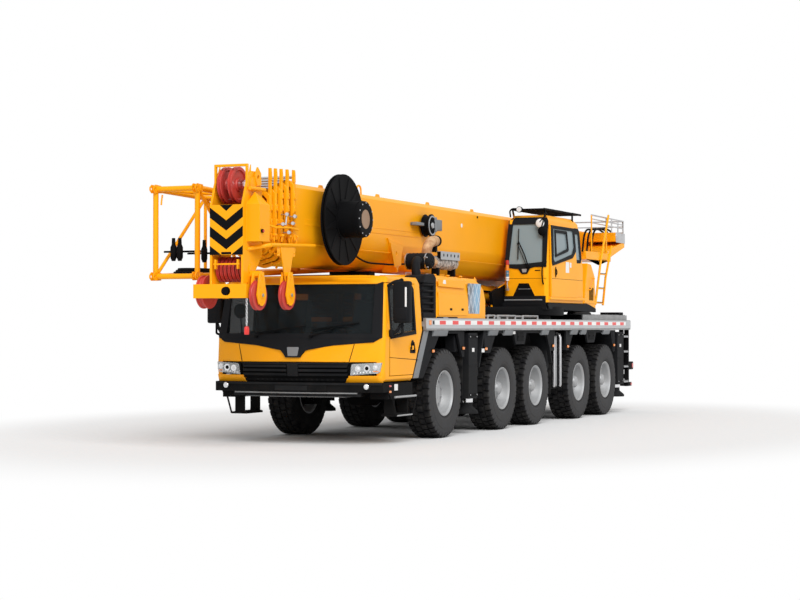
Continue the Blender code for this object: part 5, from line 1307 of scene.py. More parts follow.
upper_trim.turned(
    [(1.905, 1.371), (1.905, 1.376), (1.935, 1.384), (2.015, 1.384), (2.045, 1.376), (2.045, 1.371)], "z",
    (SLEW_X, 0, 0), 64
)
upper_trim.use(CHARCOAL)
upper_trim.slab([(-4.818, 2.06), (-4.818, 2.13), (-4.90, 2.13), (-4.90, 2.00), (-4.85, 2.00)], "y", 0.48, 1.33, 0.008)
upper_trim.slab(
    [(-4.86, 2.085), (-4.96, 2.128), (-7.20, 2.128), (-7.66, 2.05), (-7.66, 1.975), (-4.94, 2.005)], "y", 1.29,
    1.345, 0.010
)
upper_trim.slab(flat_first(-7.22, -7.66, 1.98, 2.05), "y", 0.48, 1.30, 0.006)
upper_trim.use(SILVER)
upper_trim.block((-7.672, -7.655), (1.20, 1.34), (1.985, 2.045), 0.003)
upper_trim.use(YELLOW)
# bosses with a ring of bolts at the boom's foot, wedge plates, a side rail, a handle and a louvred cover
FOOT_X, FOOT_Z = -7.90, 3.20
BOLT_CIRCLE = 0.14
for side in (1, -1):
    boss = span(side, 0.494, 0.53)
    upper_trim.turned([(boss[0], 0.0), (boss[0], 0.18), (boss[1], 0.17), (boss[1], 0.0)], "y", (FOOT_X, 0, FOOT_Z), 32)
    for a, b in circle(8, BOLT_CIRCLE):
        place = Vector((FOOT_X + a, side * 0.525, FOOT_Z + b))
        upper_trim.round(place, place + Vector((0, side * 0.018, 0)), 0.014, sides=6)
for x in (-8.10, -8.42, -8.74):
    upper_trim.slab(
        [(x - 0.09, 3.34), (x + 0.09, 3.34), (x + 0.06, 3.54), (x - 0.06, 3.54)], "y", 0.49, 0.505, 0.004, both=True
    )
upper_trim.block((-9.00, -7.42), (1.215, 1.228), (2.99, 3.10), 0.003, both=True)
upper_trim.hose(
    [(-7.58, 1.300, 2.62), (-7.58, 1.345, 2.62), (-7.34, 1.345, 2.40), (-7.34, 1.300, 2.40)], 0.011, False, 4
)
cover = [(-7.115, 2.14), (-7.075, 2.22), (-7.27, 2.86), (-7.48, 2.845), (-7.68, 2.65), (-7.74, 2.14)]
upper_trim.slab(cover, "y", 1.297, 1.306, 0.004)
upper_trim.use(BLACK)
# Black sheets on the side plates ahead of the operator's cab, on both sides: painted shade where these plates lie in
# shadow.
upper_trim.slab([(-4.345, 2.052), (-4.285, 2.30), (-4.94, 2.455), (-4.94, 2.052)], "y", 0.440, 0.504, 0.004, both=True)
for i in range(5):
    x = -7.60 + 0.055 * i
    upper_trim.slab([(x, 2.20), (x + 0.025, 2.20), (x + 0.010, 2.44), (x - 0.015, 2.44)], "y", 1.304, 1.312, 0.002)
# tread strips on the walkways and ladder rungs
for side in (1, -1):
    for i in range(12):
        x = -8.94 + 0.12 * i
        upper_trim.block((x, x + 0.05), span(side, 0.54, 1.14), (3.028, 3.036), 0.002)
for z in (2.16, 2.44, 2.72, 2.98):
    lean = -0.42 * (z - 2.12)
    upper_trim.block((-8.40 + lean * 0.8, -7.96 + lean), (1.232, 1.258), (z + 0.012, z + 0.022), 0.003)
# three pipes over the hoist, a filler cap on the right-hand tank, two louvred panels of the cooler
for k in range(3):
    y = 0.66 + 0.09 * k
    upper_trim.hose(
        [
            (-8.94, y, 3.20), (-9.12, y, 3.58), (-9.5, y, 3.66), (-10.2, y, 3.66), (-10.36, y, 3.60),
            (-10.37, y, 3.40), (-10.30, y, 3.34)
        ],
        0.020, True, 5
    )
upper_trim.turned(
    [(2.70, 0.0), (2.70, 0.055), (2.735, 0.055), (2.745, 0.045), (2.745, 0.0)], "z", (-6.95, -0.72, 0), 20
)
for x in (-5.75, -6.40):
    upper_trim.block((x - 0.28, x + 0.28), (-1.288, -1.279), (2.20, 2.50), 0.003)
    for i in range(7):
        z = 2.22 + 0.038 * i
        upper_trim.slab(
            [(-1.286, z), (-1.302, z + 0.020), (-1.302, z + 0.026), (-1.286, z + 0.028)], "x", x - 0.26, x + 0.26,
            0.001
        )
upper_trim.use(STEEL)
for side in (1, -1):
    for z in (3.70, 3.775):
        upper_trim.round((-7.86, side * 1.198, z), (TAIL + 0.03, side * 1.105, z), 0.011, sides=8)
    for x in (-9.35, -9.85):
        y = side * (1.10 + 0.10 * (x - TAIL) / 2.46)
        upper_trim.round((x, y, 3.58), (x, y, 3.845), 0.014, sides=8)
    upper_trim.block((TAIL - 0.006, TAIL + 0.60), span(side, 1.118, 1.128), (3.40, 3.60), 0.003)
for z in (3.62, 3.74):
    upper_trim.round((TAIL + 0.03, -1.10, z), (TAIL + 0.03, 1.10, z), 0.011, sides=8)
upper_trim.done("superstructure", "crane_yellow")

# Hoist: a flanged steel drum in yellow, turned, with a hub on both sides. It is wound with bright steel rope,
# each turn of it a ridge.
winch = Piece("winch_drum", YELLOW)
WINCH = (-9.10, 0, 3.38)
for side in (1, -1):
    flange = [
        (side * a, r)
        for a, r in (
            (0.388, 0.0), (0.388, 0.200), (0.396, 0.204), (0.418, 0.204), (0.424, 0.196), (0.424, 0.11),
            (0.4515, 0.10), (0.4515, 0.0)
        )
    ]
    winch.turned(flange, "y", WINCH, 40)
winch.use(STEEL)
rope = [(-0.39, 0.0), (-0.39, 0.140)]
for i in range(24):
    y = -0.375 + 0.0325 * i
    rope += [(y - 0.011, 0.158), (y, 0.165), (y + 0.011, 0.158)]
rope += [(0.39, 0.140), (0.39, 0.0)]
winch.turned(rope, "y", WINCH, 28)
winch.done("hoist_winch", "crane_yellow", ("hoist_winch",))

# Lift cylinder: a welded barrel in yellow with a gland and a pipe along it, a chromed rod with a bushed eye.
refined("lift_barrel", YELLOW, 0.003)
refined("lift_rod", CHROME, 0.003)
cylinder_foot, cylinder_eye = Vector((-6.00, 0, 2.26)), Vector((-2.60, 0, 2.36))
along = (cylinder_eye - cylinder_foot).normalized()
closed = (cylinder_eye - cylinder_foot).length
barrel = Piece("barrel_fittings", YELLOW)
for start, end, radius in ((closed - 0.66, closed - 0.60, 0.180), (0.40, 0.44, 0.178)):
    barrel.round(cylinder_foot + along * start, cylinder_foot + along * end, radius, sides=32)
barrel.use(BLACK)
beside = Vector((0, 0.185, 0.04))
barrel.hose([cylinder_foot + along * d + beside for d in (0.42, 0.9, 1.8, closed - 0.64)], 0.016, True, 5)
for d in (0.8, 1.5, 2.2):
    barrel.round(
        cylinder_foot + along * d + beside * 0.85, cylinder_foot + along * (d + 0.04) + beside * 0.95, 0.030,
        sides=8
    )
barrel.done("lift_barrel")

# Operator's cab: a steel shell in gloss yellow. The screen sits in a black frame that ends in a point below it, the
# side windows in a black band; lamps, mirrors, wiper and a black guard over the roof complete it.
CABIN_FRONT = -4.86
CABIN_SIDE = 1.33
WAIST = 2.78
BROW = 3.60
DOOR_OUT = 0.038
CABIN_MIDDLE = (-5.9, 0.92, 2.95)
GUARD = (BLACK, (-7.2, -4.8), (0.5, 1.35), (3.706, 4.0))
refined("operator_cab", YELLOW, 0.008, [GUARD], (CHARCOAL, CABIN_MIDDLE))
refined("operator_door", YELLOW, 0.005, (), (CHARCOAL, CABIN_MIDDLE))
OPERATOR_GLASS = glazing("operator_glass", (0.25, 0.31, 0.33), 0.86)
refined("operator_windscreen", OPERATOR_GLASS, 0)


def cabin_front(z):
    return CABIN_FRONT - 0.244 * max(0.0, min(z, BROW) - WAIST) - max(0.0, z - BROW)


def cabin_panel(piece, outline, holes=(), out=0.004, depth=0.012, ease=0.0):
    """A panel whose outline is given across and up the operator's cab's front, bent to it."""
    shape = bmesh.new()
    edges = []
    for loop in (outline, *holes):
        corners = [shape.verts.new((0, y, z)) for y, z in loop]
        edges += [shape.edges.new(pair) for pair in zip(corners, corners[1:] + corners[:1])]
    bmesh.ops.triangle_fill(shape, edges=edges, use_beauty=True)
    sliced(shape, (0, 0, 1), (WAIST, BROW))
    for v in shape.verts:
        v.co.x = cabin_front(v.co.z) + out
    thickened(shape, (-depth, 0, 0))
    piece.add(shape, ease)


def leaning(out):
    """Sets a shape made on the plane Y 0 against the cab's side above the waist, so far out from it."""
    slope = -0.0854
    return Matrix(((1, 0, 0, 0), (0, 1, slope, CABIN_SIDE + out - slope * WAIST), (0, 0, 1, 0), (0, 0, 0, 1)))


cabin = Piece("operator_cab_front", CHARCOAL)
screen_rim = [(0.525, 2.76), (1.315, 2.76), (1.285, 3.59), (1.235, 3.66), (0.60, 3.66), (0.535, 3.60)]
screen = [(0.60, 2.815), (1.235, 2.815), (1.185, 3.535), (0.622, 3.535)]
cabin_panel(cabin, screen_rim, [screen], 0.010, 0.016)
point = [
    (0.525, 2.785), (0.525, 2.765), (0.70, 2.735), (0.79, 2.725), (0.855, 2.640), (0.955, 2.640), (1.01, 2.735),
    (1.18, 2.79), (1.315, 2.83), (1.315, 2.86)
]
cabin_panel(cabin, point, (), 0.012, 0.018)
cabin_panel(cabin, flat_first(0.515, 1.30, 2.118, 2.248), (), 0.014, 0.02)
cabin.use(BLACK)
cabin_panel(cabin, [(0.80, 2.473), (0.98, 2.473), (1.10, 2.245), (0.69, 2.245)], (), 0.006, 0.01)
cabin_panel(cabin, flat_first(0.52, 1.32, 2.556, 2.562), (), 0.0015, 0.004)
cabin_panel(cabin, flat_first(1.10, 1.20, 2.690, 2.708), (), 0.003, 0.005)
cabin.use(SILVER)
cabin_panel(cabin, flat_first(0.53, 1.24, 2.170, 2.186), (), 0.019, 0.008)
cabin_panel(cabin, flat_first(0.79, 1.02, 2.368, 2.375), (), 0.009, 0.005)
cabin_panel(cabin, [(0.858, 2.728), (0.952, 2.728), (0.938, 2.668), (0.872, 2.668)], (), 0.019, 0.008)
cabin.use(YELLOW)
cabin_panel(cabin, [(0.555, 3.615), (0.62, 3.63), (0.60, 3.54), (0.565, 3.54)], (), 0.016, 0.008)
# wiper, mirrors on one bracket, roof lamp
cabin.use(BLACK)
cabin.hose(
    [
        (cabin_front(2.78) + 0.03, 0.985, 2.77), (cabin_front(2.98) + 0.034, 0.90, 2.98),
        (cabin_front(3.22) + 0.034, 0.765, 3.22)
    ],
    0.010, False, 4
)
cabin.hose([(cabin_front(2.78) + 0.03, 0.955, 2.77), (cabin_front(3.20) + 0.030, 0.735, 3.20)], 0.006, False, 4)
cabin.block((cabin_front(2.8) + 0.01, cabin_front(2.8) + 0.045), (0.94, 1.01), (2.745, 2.80), 0.008)
cabin.hose([(cabin_front(2.90) + 0.022, 0.775, 2.90), (cabin_front(3.45) + 0.022, 0.745, 3.45)], 0.009, False, 4)
cabin.hose([(-5.14, 1.24, 3.70), (-4.98, 1.25, 3.72), (-4.93, 1.24, 3.60), (-4.92, 1.20, 3.46)], 0.012, True, 5)
cabin.hose([(-4.93, 1.245, 3.62), (-4.93, 1.20, 3.60), (-4.93, 1.165, 3.56)], 0.010, True, 5)
cabin.ball((-4.93, 1.215, 3.400), 0.085, (0.35, 1, 1), 24)
cabin.ball((-4.955, 1.165, 3.541), 0.088, (0.25, 1, 1), 24)
cabin.hose([(-5.10, 0.55, 3.68), (-5.00, 0.60, 3.80), (-5.03, 0.70, 3.815), (-5.12, 0.80, 3.80)], 0.014, True, 5)
cabin.round((-5.06, 0.756, 3.80), (-4.985, 0.756, 3.80), 0.050, 0.056, 20)
cabin.block((-7.10, -5.0), (0.90, 0.925), (3.800, 3.812), 0.003)
cabin.slab(flat_first(-5.05, -5.10, 0.60, 1.24), "z", 3.806, 3.816, 0.002)
for i in range(14):
    x = -5.20 - 0.14 * i
    cabin.round((x, 0.61, 3.806), (x, 1.23, 3.806), 0.008, sides=6)
cabin.hose([(-4.855, 1.27, 2.82), (-4.80, 1.27, 2.80), (-4.80, 1.265, 2.50), (-4.855, 1.26, 2.46)], 0.013, True, 5)
cabin.use(WHITE)
cabin.ball((-4.945, 1.165, 3.541), 0.080, (0.25, 1, 1), 24)
cabin.use(CLEAR)
cabin.round((-4.987, 0.756, 3.80), (-4.975, 0.756, 3.80), 0.048, 0.044, 20)
# load warning light on its post: a red, an amber and a blue lens
POST = (-4.80, 0.60)
BLUE = lens_plastic("blue_lens", (0.05, 0.20, 0.34), 400)
cabin.use(STEEL)
cabin.round((*POST, 2.36), (*POST, 2.53), 0.012, sides=12)
cabin.round((*POST, 2.345), (*POST, 2.385), 0.034, sides=6)
for z in (2.555, 2.655):
    cabin.round((*POST, z - 0.006), (*POST, z + 0.006), 0.036, sides=20)
cabin.block((-4.86, -4.80), (0.59, 0.61), (2.395, 2.425), 0.003)
cabin.block((-4.86, -4.80), (0.59, 0.61), (2.60, 2.63), 0.003)
for finish, low, high in ((WHITE, 2.52, 2.59), (BLUE, 2.59, 2.70), (AMBER, 2.70, 2.80), (LAMP_RED, 2.80, 2.885)):
    cabin.use(finish)
    cabin.round((*POST, low), (*POST, high), 0.032, 0.030 if high > 2.85 else None, 20, 0.003)
cabin.done("operator_cab")

# Side windows: the pane on the sliding door with its frame, and the quarter, inner and rear panes of the shell.
panes = Piece("operator_cab_panes", CHARCOAL)
quarter = flat_first(-6.54, -6.78, 2.94, 3.42)
panes.plate(
    [(-6.465, 2.87), (-6.80, 2.88), (-6.87, 2.97), (-6.87, 3.47), (-6.80, 3.53), (-6.465, 3.53)], [quarter], "y",
    -0.010, 0.0015, 0.002, turn=leaning(0)
)
panes.use(BLACK)
panes.block((-6.90, -6.47), (1.327, 1.3308), (2.556, 2.562), 0.001)
panes.use(OPERATOR_GLASS)
panes.plate(flat_first(-6.50, -6.82, 2.90, 3.46), [], "y", -0.020, -0.014, 0, turn=leaning(0))
panes.block((-6.62, -5.18), (0.530, 0.536), (2.78, 3.46), 0)
panes.block((-6.90, -6.894), (0.64, 1.16), (2.88, 3.44), 0)
panes.done("operator_cab")

door = Piece("operator_door_window", CHARCOAL)
opening = [(-6.35, 3.165), (-6.215, 3.03), (-5.17, 2.85), (-5.115, 2.905), (-5.225, 3.46), (-6.35, 3.46)]
band = [(-5.005, 2.83), (-5.118, 3.515), (-6.44, 3.515), (-6.44, 3.09), (-6.22, 2.96), (-5.04, 2.785)]
door.plate(band, [opening], "y", -0.004, 0.010, 0.002, turn=leaning(DOOR_OUT))
sash = [(-5.23, 2.945), (-5.30, 3.44), (-5.98, 3.44), (-6.00, 3.10), (-5.95, 3.07)]
inner_sash = [(-5.29, 2.99), (-5.345, 3.39), (-5.93, 3.39), (-5.945, 3.14), (-5.91, 3.115)]
door.plate(sash, [inner_sash], "y", 0.002, 0.016, 0.003, turn=leaning(DOOR_OUT))
door.use(BLACK)
lens_outline = [
    (-5.21 + 0.036 * math.cos(t), 2.675 + 0.098 * math.sin(t)) for t in (math.tau * i / 20 for i in range(20))
]
door.slab(lens_outline, "y", CABIN_SIDE + DOOR_OUT - 0.004, CABIN_SIDE + DOOR_OUT + 0.006, 0.003)
door.hose([(-5.21, 1.372, 2.74), (-5.21, 1.392, 2.70), (-5.21, 1.392, 2.65), (-5.21, 1.372, 2.61)], 0.008, True, 4)
door.block((-6.44, -5.00), (1.367, 1.3695), (2.556, 2.562), 0.001)
door.use(WHITE)
door.slab(rise_first(-5.78, -5.97, 2.68, 2.875), "y", 1.3675, 1.370, 0.001)
door.slab(rise_first(-6.01, -6.10, 2.78, 2.87), "y", 1.3675, 1.370, 0.001)
door.use(OPERATOR_GLASS)
door.plate(
    [(-6.37, 3.14), (-6.22, 3.0), (-5.15, 2.82), (-5.09, 2.90), (-5.21, 3.485), (-6.37, 3.485)], [], "y", -0.014,
    -0.008, 0, turn=leaning(DOOR_OUT)
)
door.done("operator_door")

# Operator's seat: cloth pads on a moulded pan, with arm rests, levers and a screen on a stalk.
operator = Piece("operator_seat_frame", CHARCOAL)
operator.block((-6.50, -5.98), (0.68, 1.10), (2.18, 2.50), 0.03, steps=2)
operator.slab([(-6.60, 2.50), (-6.52, 2.50), (-6.58, 3.29), (-6.63, 3.29)], "y", 0.68, 1.10, 0.015)
operator.block((-6.40, -5.02), (0.70, 1.05), (2.177, 2.197), 0.004)
operator.block((-5.20, -5.04), (0.70, 1.05), (2.19, 2.62), 0.02, steps=2)
for y in (0.665, 1.115):
    operator.block((-6.42, -6.02), (y - 0.03, y + 0.03), (2.70, 2.735), 0.012, steps=2)
    operator.block((-6.42, -6.36), (y - 0.02, y + 0.02), (2.44, 2.71), 0.006)
    operator.round((-6.06, y, 2.73), (-6.05, y, 2.83), 0.008, sides=8)
    operator.ball((-6.05, y, 2.85), 0.024, sides=10)
operator.round((-5.12, 0.86, 2.60), (-5.14, 0.82, 2.66), 0.012, sides=8)
operator.done("operator_cab", "cab_trim", ("operator_seat",))
for name, outline in (
    ("operator_cushion", [(-6.42, 2.50), (-5.96, 2.50), (-5.955, 2.58), (-6.02, 2.615), (-6.42, 2.60)]),
    ("operator_backrest", [(-6.525, 2.60), (-6.39, 2.60), (-6.44, 2.95), (-6.48, 3.29), (-6.585, 3.29)]),
):
    pad = Piece(name, cloth.material)
    pad.slab(outline, "y", 0.70, 1.08, 0.03, steps=3)
    pad.done("operator_cab", "cab_trim")

# Boom: six welded box sections with round bellies in gloss yellow, each with a collar at its front. The collars
# carry bolted wear pads down their sides, rope-guide cheeks with rounded tips and a roller across the top.
BOOM_Z = 3.12
COLLARS = (
    ("boom", 0.430, 0.575, 3.38),
    ("boom_section_1", 0.392, 0.527, 3.50),
    ("boom_section_2", 0.356, 0.481, 3.61),
    ("boom_section_3", 0.320, 0.437, 3.71),
    ("boom_section_4", 0.284, 0.395, 3.80),
)
refined("boom_base", YELLOW, 0.006)
for i in range(1, 5):
    refined(f"boom_section_{i}", YELLOW, 0.003)
for body, half, half_height, collar_front in COLLARS:
    wide, middle = half + 0.032, collar_front - 0.035
    ring = Piece(body + "_collar_fittings", YELLOW)
    for z in (2.93, 3.13, 3.33, 3.50):
        if z < BOOM_Z + half_height - 0.10:
            ring.block(
                (middle - 0.024, middle + 0.024), (wide - 0.004, wide + 0.018), (z - 0.045, z + 0.045), 0.005,
                both=True
            )
            for dz in (-0.026, 0.026):
                ring.round((middle, wide + 0.016, z + dz), (middle, wide + 0.026, z + dz), 0.010, sides=6, both=True)
    for turn in (0.35, 0.75, 1.15):
        y, z = wide * math.cos(turn), BOOM_Z - half_height - 0.03 + half * 0.95 - half * math.sin(turn)
        ring.round(
            (middle, y - 0.01, z), (middle, y + 0.012 * math.cos(turn), z - 0.014 * math.sin(turn)), 0.02, sides=8,
            both=True
        )
    tip = [
        (collar_front - 0.062, 3.70), (collar_front - 0.008, 3.70), (collar_front - 0.012, 3.80),
        (collar_front - 0.022, 3.852)
    ]
    tip += [(collar_front - 0.035, 3.868), (collar_front - 0.048, 3.852), (collar_front - 0.058, 3.80)]
    ring.plate(tip, [(middle, 3.80, 0.012)], "y", wide - 0.020, wide + 0.010, 0.004, both=True)
    ring.use(STEEL)
    ring.round(
        (middle, -wide + 0.02, BOOM_Z + half_height + 0.075), (middle, wide - 0.02, BOOM_Z + half_height + 0.075),
        0.022, sides=12
    )
    ring.done(body)

# Weld strips, a blank round plate, rope eyes and the reel's bracket on the base section.
BASE_SIDE = 0.430
base = Piece("boom_base_fittings", YELLOW)
for z_front, z_back, x_front, x_back in (
    (3.131, 3.131, 2.95, -1.20), (3.207, 3.207, 2.95, -1.20), (2.86, 2.80, 2.95, -7.40)
):
    strip = [(x_front, z_front - 0.006), (x_front, z_front + 0.006), (x_back, z_back + 0.006), (x_back, z_back - 0.006)]
    base.slab(strip, "y", BASE_SIDE - 0.004, BASE_SIDE + 0.005, 0.003, both=True)
base.slab(rise_first(2.95, -1.16, 3.137, 3.201), "y", BASE_SIDE - 0.004, BASE_SIDE + 0.002, 0.001, both=True)
for x in (2.20, 0.2, -1.8, -3.8):
    base.slab(
        [(x - 0.09, 3.69), (x + 0.09, 3.69), (x + 0.05, 3.745), (x - 0.05, 3.745)], "y", 0.30, 0.318, 0.004,
        both=True
    )
base.hose([(0.9, 0.30, 3.69), (0.93, 0.30, 3.80), (0.82, 0.30, 3.82), (0.78, 0.30, 3.69)], 0.014, True, 5)
base.plate(
    [(-0.36, 2.66), (-0.10, 2.62), (0.06, 3.00), (-0.38, 2.94)], [(-0.16, 2.84, 0.035)], "y", 0.462, 0.470, 0.003
)
base.use(WHITE)
base.turned(rise_first(BASE_SIDE, BASE_SIDE + 0.003, 0.0, 0.035), "y", (-3.02, 0, 3.42), 24)
base.use(BLACK)
base.round((-3.75, BASE_SIDE - 0.01, 3.60), (-3.75, BASE_SIDE + 0.012, 3.60), 0.02, sides=12)
base.round((1.20, BASE_SIDE - 0.01, 3.60), (1.20, BASE_SIDE + 0.012, 3.60), 0.02, sides=12)
base.hose(
    [(1.86, 0.455, 3.02), (1.2, 0.455, 2.72), (0.3, 0.45, 2.66), (-0.9, 0.45, 2.70), (-2.2, 0.45, 2.71)], 0.014,
    True, 4
)
base.done("boom")

# Boom head: two cheek plates with a striped front plate between them, pins with keepers, a lamp housing, a fork
# with the side sheave, a service rail and two hanging sheave blocks.
HEAD_FRONT = 4.45
refined(
    "boom_head_section", YELLOW, 0.004,
    [
        (RED, (4.0, 4.42), (-0.495, -0.385), (1.94, 2.40)),
        (RED, (4.02, 4.42), (0.334, 0.386), (1.91, 2.322)),
        (RED, (3.42, 3.82), (0.464, 0.516), (1.92, 2.332)),
    ],
)
head = Piece("boom_head_fittings", BLACK)
CHEVRON_DROP = 0.179
EDGE = 0.252
head.slab([(-0.10, 3.333), (0.10, 3.333), (0.0, 3.25)], "x", HEAD_FRONT - 0.002, HEAD_FRONT + 0.0025, 0.0005)
for high, low in ((3.303, 3.166), (3.05, 2.913)):
    stripe = [(-EDGE, high), (0, high - CHEVRON_DROP), (EDGE, high), (EDGE, low), (0, low - CHEVRON_DROP), (-EDGE, low)]
    head.slab(stripe, "x", HEAD_FRONT - 0.002, HEAD_FRONT + 0.0025, 0.0005)
for side in (1, -1):
    head.slab(
        [(side * EDGE, 2.786), (side * 0.074, 2.661), (side * EDGE, 2.661)], "x", HEAD_FRONT - 0.002,
        HEAD_FRONT + 0.0025, 0.0005
    )
head.block((HEAD_FRONT - 0.02, HEAD_FRONT + 0.008), (-0.075, 0.075), (2.668, 2.70), 0.006)
head.turned(rise_first(4.28, 4.453, 0.0, 0.055), "x", (0, -0.02, 2.175), 20)
head.round((4.29, 0.405, 2.98), (4.29, 0.475, 2.98), 0.026, sides=14)
head.use(LAMP_RED)
head.round((4.29, 0.470, 2.98), (4.29, 0.486, 2.98), 0.018, sides=14)
head.use(YELLOW)
for x, z, radius in ((4.16, 3.62, 0.105), (4.21, 2.47, 0.085)):
    for side in (1, -1):
        head.turned(rise_first(side * 0.25, side * 0.266, 0.0, radius), "y", (x, 0, z), 24)
for x, z in ((4.06, 3.30), (4.06, 3.02), (4.06, 2.74), (4.34, 3.30), (4.34, 2.74), (4.10, 2.20), (4.34, 2.30)):
    head.round((x, 0.25, z), (x, 0.268, z), 0.016, sides=6, both=True)
head.block((4.438, 4.458), (-0.20, 0.20), (2.525, 2.548), 0.006)
for y in (-0.17, 0.17):
    head.block((4.40, 4.455), (y - 0.012, y + 0.012), (2.47, 2.60), 0.004)
for y in (-0.235, 0.235):
    head.slab([(4.20, HEAD_FRONT - 0.56), (4.20, 3.60), (4.40, 3.42), (4.42, 3.34)], "y", y - 0.008, y + 0.008, 0.003)
# the lug and bar of the service rail, eyes, stubs and a hose along the left cheek, and the ends of bolts
head.plate(
    [(3.98, 3.62), (4.10, 3.60), (4.16, 3.74), (4.08, 3.86), (3.99, 3.78)], [(4.07, 3.72, 0.03)], "y", 0.262, 0.286
)
head.round((3.92, 0.30, 3.56), (4.34, 0.30, 3.56), 0.026, sides=12)
for x in (3.30, 3.52, 3.74, 3.96):
    head.round((x, 0.47, 2.855), (x, 0.47, 2.94), 0.010, sides=8)
    head.block((x - 0.025, x + 0.025), (0.45, 0.50), (2.93, 2.96), 0.005)
for x in (3.40, 3.86):
    head.plate(
        [(x - 0.05, 2.80), (x + 0.05, 2.80), (x + 0.03, 2.66), (x - 0.03, 2.66)], [(x, 2.70, 0.014)], "y", 0.476,
        0.488
    )
head.hose([(4.02, 0.33, 3.10), (3.86, 0.44, 3.05), (3.55, 0.50, 3.06), (3.30, 0.50, 3.04)], 0.016, False, 5)
head.use(STEEL)
for x, y, z in ((3.60, 0.47, 3.24), (3.70, 0.46, 3.10), (3.48, 0.50, 3.12), (3.60, 0.50, 2.99), (3.42, 0.50, 3.22)):
    head.round((x - 0.03, y, z), (x + 0.045, y + 0.03, z), 0.017, 0.024, sides=12)
    head.round((x - 0.055, y - 0.005, z), (x - 0.02, y, z), 0.025, sides=6)
    head.round((x, y - 0.08, z), (x, y, z), 0.010, sides=8)
head.round((3.62, 0.47, 3.09), (3.60, 0.47, 3.22), 0.013, sides=10)
head.done("boom_head_section")

# Sheaves: cast red wheels with grooved rims, ribs and bosses, on bright pins. The lower bank holds seven.
def sheave(piece, centre, radius, thick, steps=40):
    x, y, z = centre
    deep, web = radius - thick, thick * 0.35
    profile = [
        (-thick * 1.05, 0.05), (-thick * 1.05, 0.088), (-web, 0.096), (-web, deep - 0.028), (-thick, deep - 0.012),
        (-thick, radius),
        (-thick * 0.62, radius), (-thick * 0.3, deep + 0.006), (0, deep), (thick * 0.3, deep + 0.006),
        (thick * 0.62, radius),
        (thick, radius), (thick, deep - 0.012), (web, deep - 0.028), (web, 0.096), (thick * 1.05, 0.088),
        (thick * 1.05, 0.05),
    ]
    piece.turned([(y + a, r) for a, r in profile], "y", (x, 0, z), steps)


UPPER_PIN = (4.16, 0, 3.62)
upper = Piece("upper_sheaves", RED)
for y in (-0.14, 0.02):
    sheave(upper, (4.16, y, 3.62), 0.245, 0.030, 48)
upper.use(CHROME)
upper.turned([(-0.216, 0.0), (-0.216, 0.052), (0.205, 0.052), (0.216, 0.044), (0.216, 0.0)], "y", UPPER_PIN, 28)
upper.turned(rise_first(0.06, 0.20, 0.05, 0.068), "y", UPPER_PIN, 28)
upper.done("head_sheaves_upper", "sheave_red", ("head_sheaves_upper",))

lower = Piece("lower_sheaves", RED)
for i in range(7):
    sheave(lower, (4.21, -0.18 + 0.06 * i, 2.47), 0.172, 0.019, 36)
lower.use(STEEL)
lower.round((4.21, -0.222, 2.47), (4.21, 0.222, 2.47), 0.052, sides=20)
lower.done("head_sheaves_lower", "sheave_red", ("head_sheaves_lower",))

# Side sheave and the hanging blocks: red wheels between yellow pear-shaped plates that are bored to save weight.
HANGING = ((4.22, 0.36, 2.12), (3.62, 0.49, 2.13))
blocks = Piece("hanging_blocks", RED)
for x, y, z in HANGING:
    sheave(blocks, (x, y, z), 0.203, 0.030, 36)
sheave(blocks, (4.20, -0.44, 2.17), 0.228, 0.053, 44)
blocks.use(YELLOW)
for x, y, z in HANGING:
    pear = [
        (x - 0.055, z + 0.315), (x + 0.055, z + 0.315), (x + 0.085, z + 0.20), (x + 0.128, z), (x + 0.095, z - 0.10)
    ]
    pear += [(x + 0.03, z - 0.145), (x - 0.03, z - 0.145), (x - 0.095, z - 0.10), (x - 0.128, z), (x - 0.085, z + 0.20)]
    holes = [(x, z + 0.20, 0.024), (x - 0.06, z + 0.09, 0.022), (x + 0.06, z + 0.09, 0.022), (x, z - 0.105, 0.018)]
    for dy in (-0.062, 0.048):
        blocks.plate(pear, holes, "y", y + dy, y + dy + 0.014, 0.003)
    blocks.turned(rise_first(y - 0.072, y + 0.072, 0.0, 0.045), "y", (x, 0, z), 20)
    blocks.round((x, y - 0.07, z + 0.27), (x, y + 0.07, z + 0.27), 0.024, sides=14)
fork = [(4.06, 2.20), (4.20, 2.10), (4.44, 2.09), (4.44, 2.25), (4.28, 2.26)]
for y in (-0.515, -0.379):
    blocks.plate(fork, [(4.20, 2.17, 0.026)], "y", y, y + 0.014, 0.003)
blocks.use(STEEL)
blocks.round((4.20, -0.525, 2.17), (4.20, -0.355, 2.17), 0.030, sides=16)
for x, y, z in HANGING:
    blocks.round((x, y + 0.070, z), (x, y + 0.082, z), 0.026, sides=6)
blocks.done("boom_head_section")


# Chain with a blank red tag on the head's left corner: welded steel links, each turned a quarter to the next.
def link(piece, centre, turned_link, half=0.020, wire=0.005):
    shape = bmesh.new()
    rim = []
    for i in range(10):
        turn = math.tau * i / 10
        across, up = 0.0115 * math.cos(turn), half * math.sin(turn)
        rim.append(Vector((0, across, up)) if turned_link else Vector((across, 0, up)))
    rings = []
    for i, point in enumerate(rim):
        ahead = (rim[(i + 1) % 10] - rim[i - 1]).normalized()
        flat = Vector((1, 0, 0)) if turned_link else Vector((0, 1, 0))
        outward = ahead.cross(flat)
        rings.append([
            shape.verts.new(Vector(centre) + point + (outward * math.cos(t) + flat * math.sin(t)) * wire)
            for t in (0.0, math.pi / 2, math.pi, math.pi * 1.5)
        ])
    for first, second in zip(rings, rings[1:] + rings[:1]):
        for j in range(4):
            shape.faces.new((first[j], first[j - 3], second[j - 3], second[j]))
    piece.add(shape)


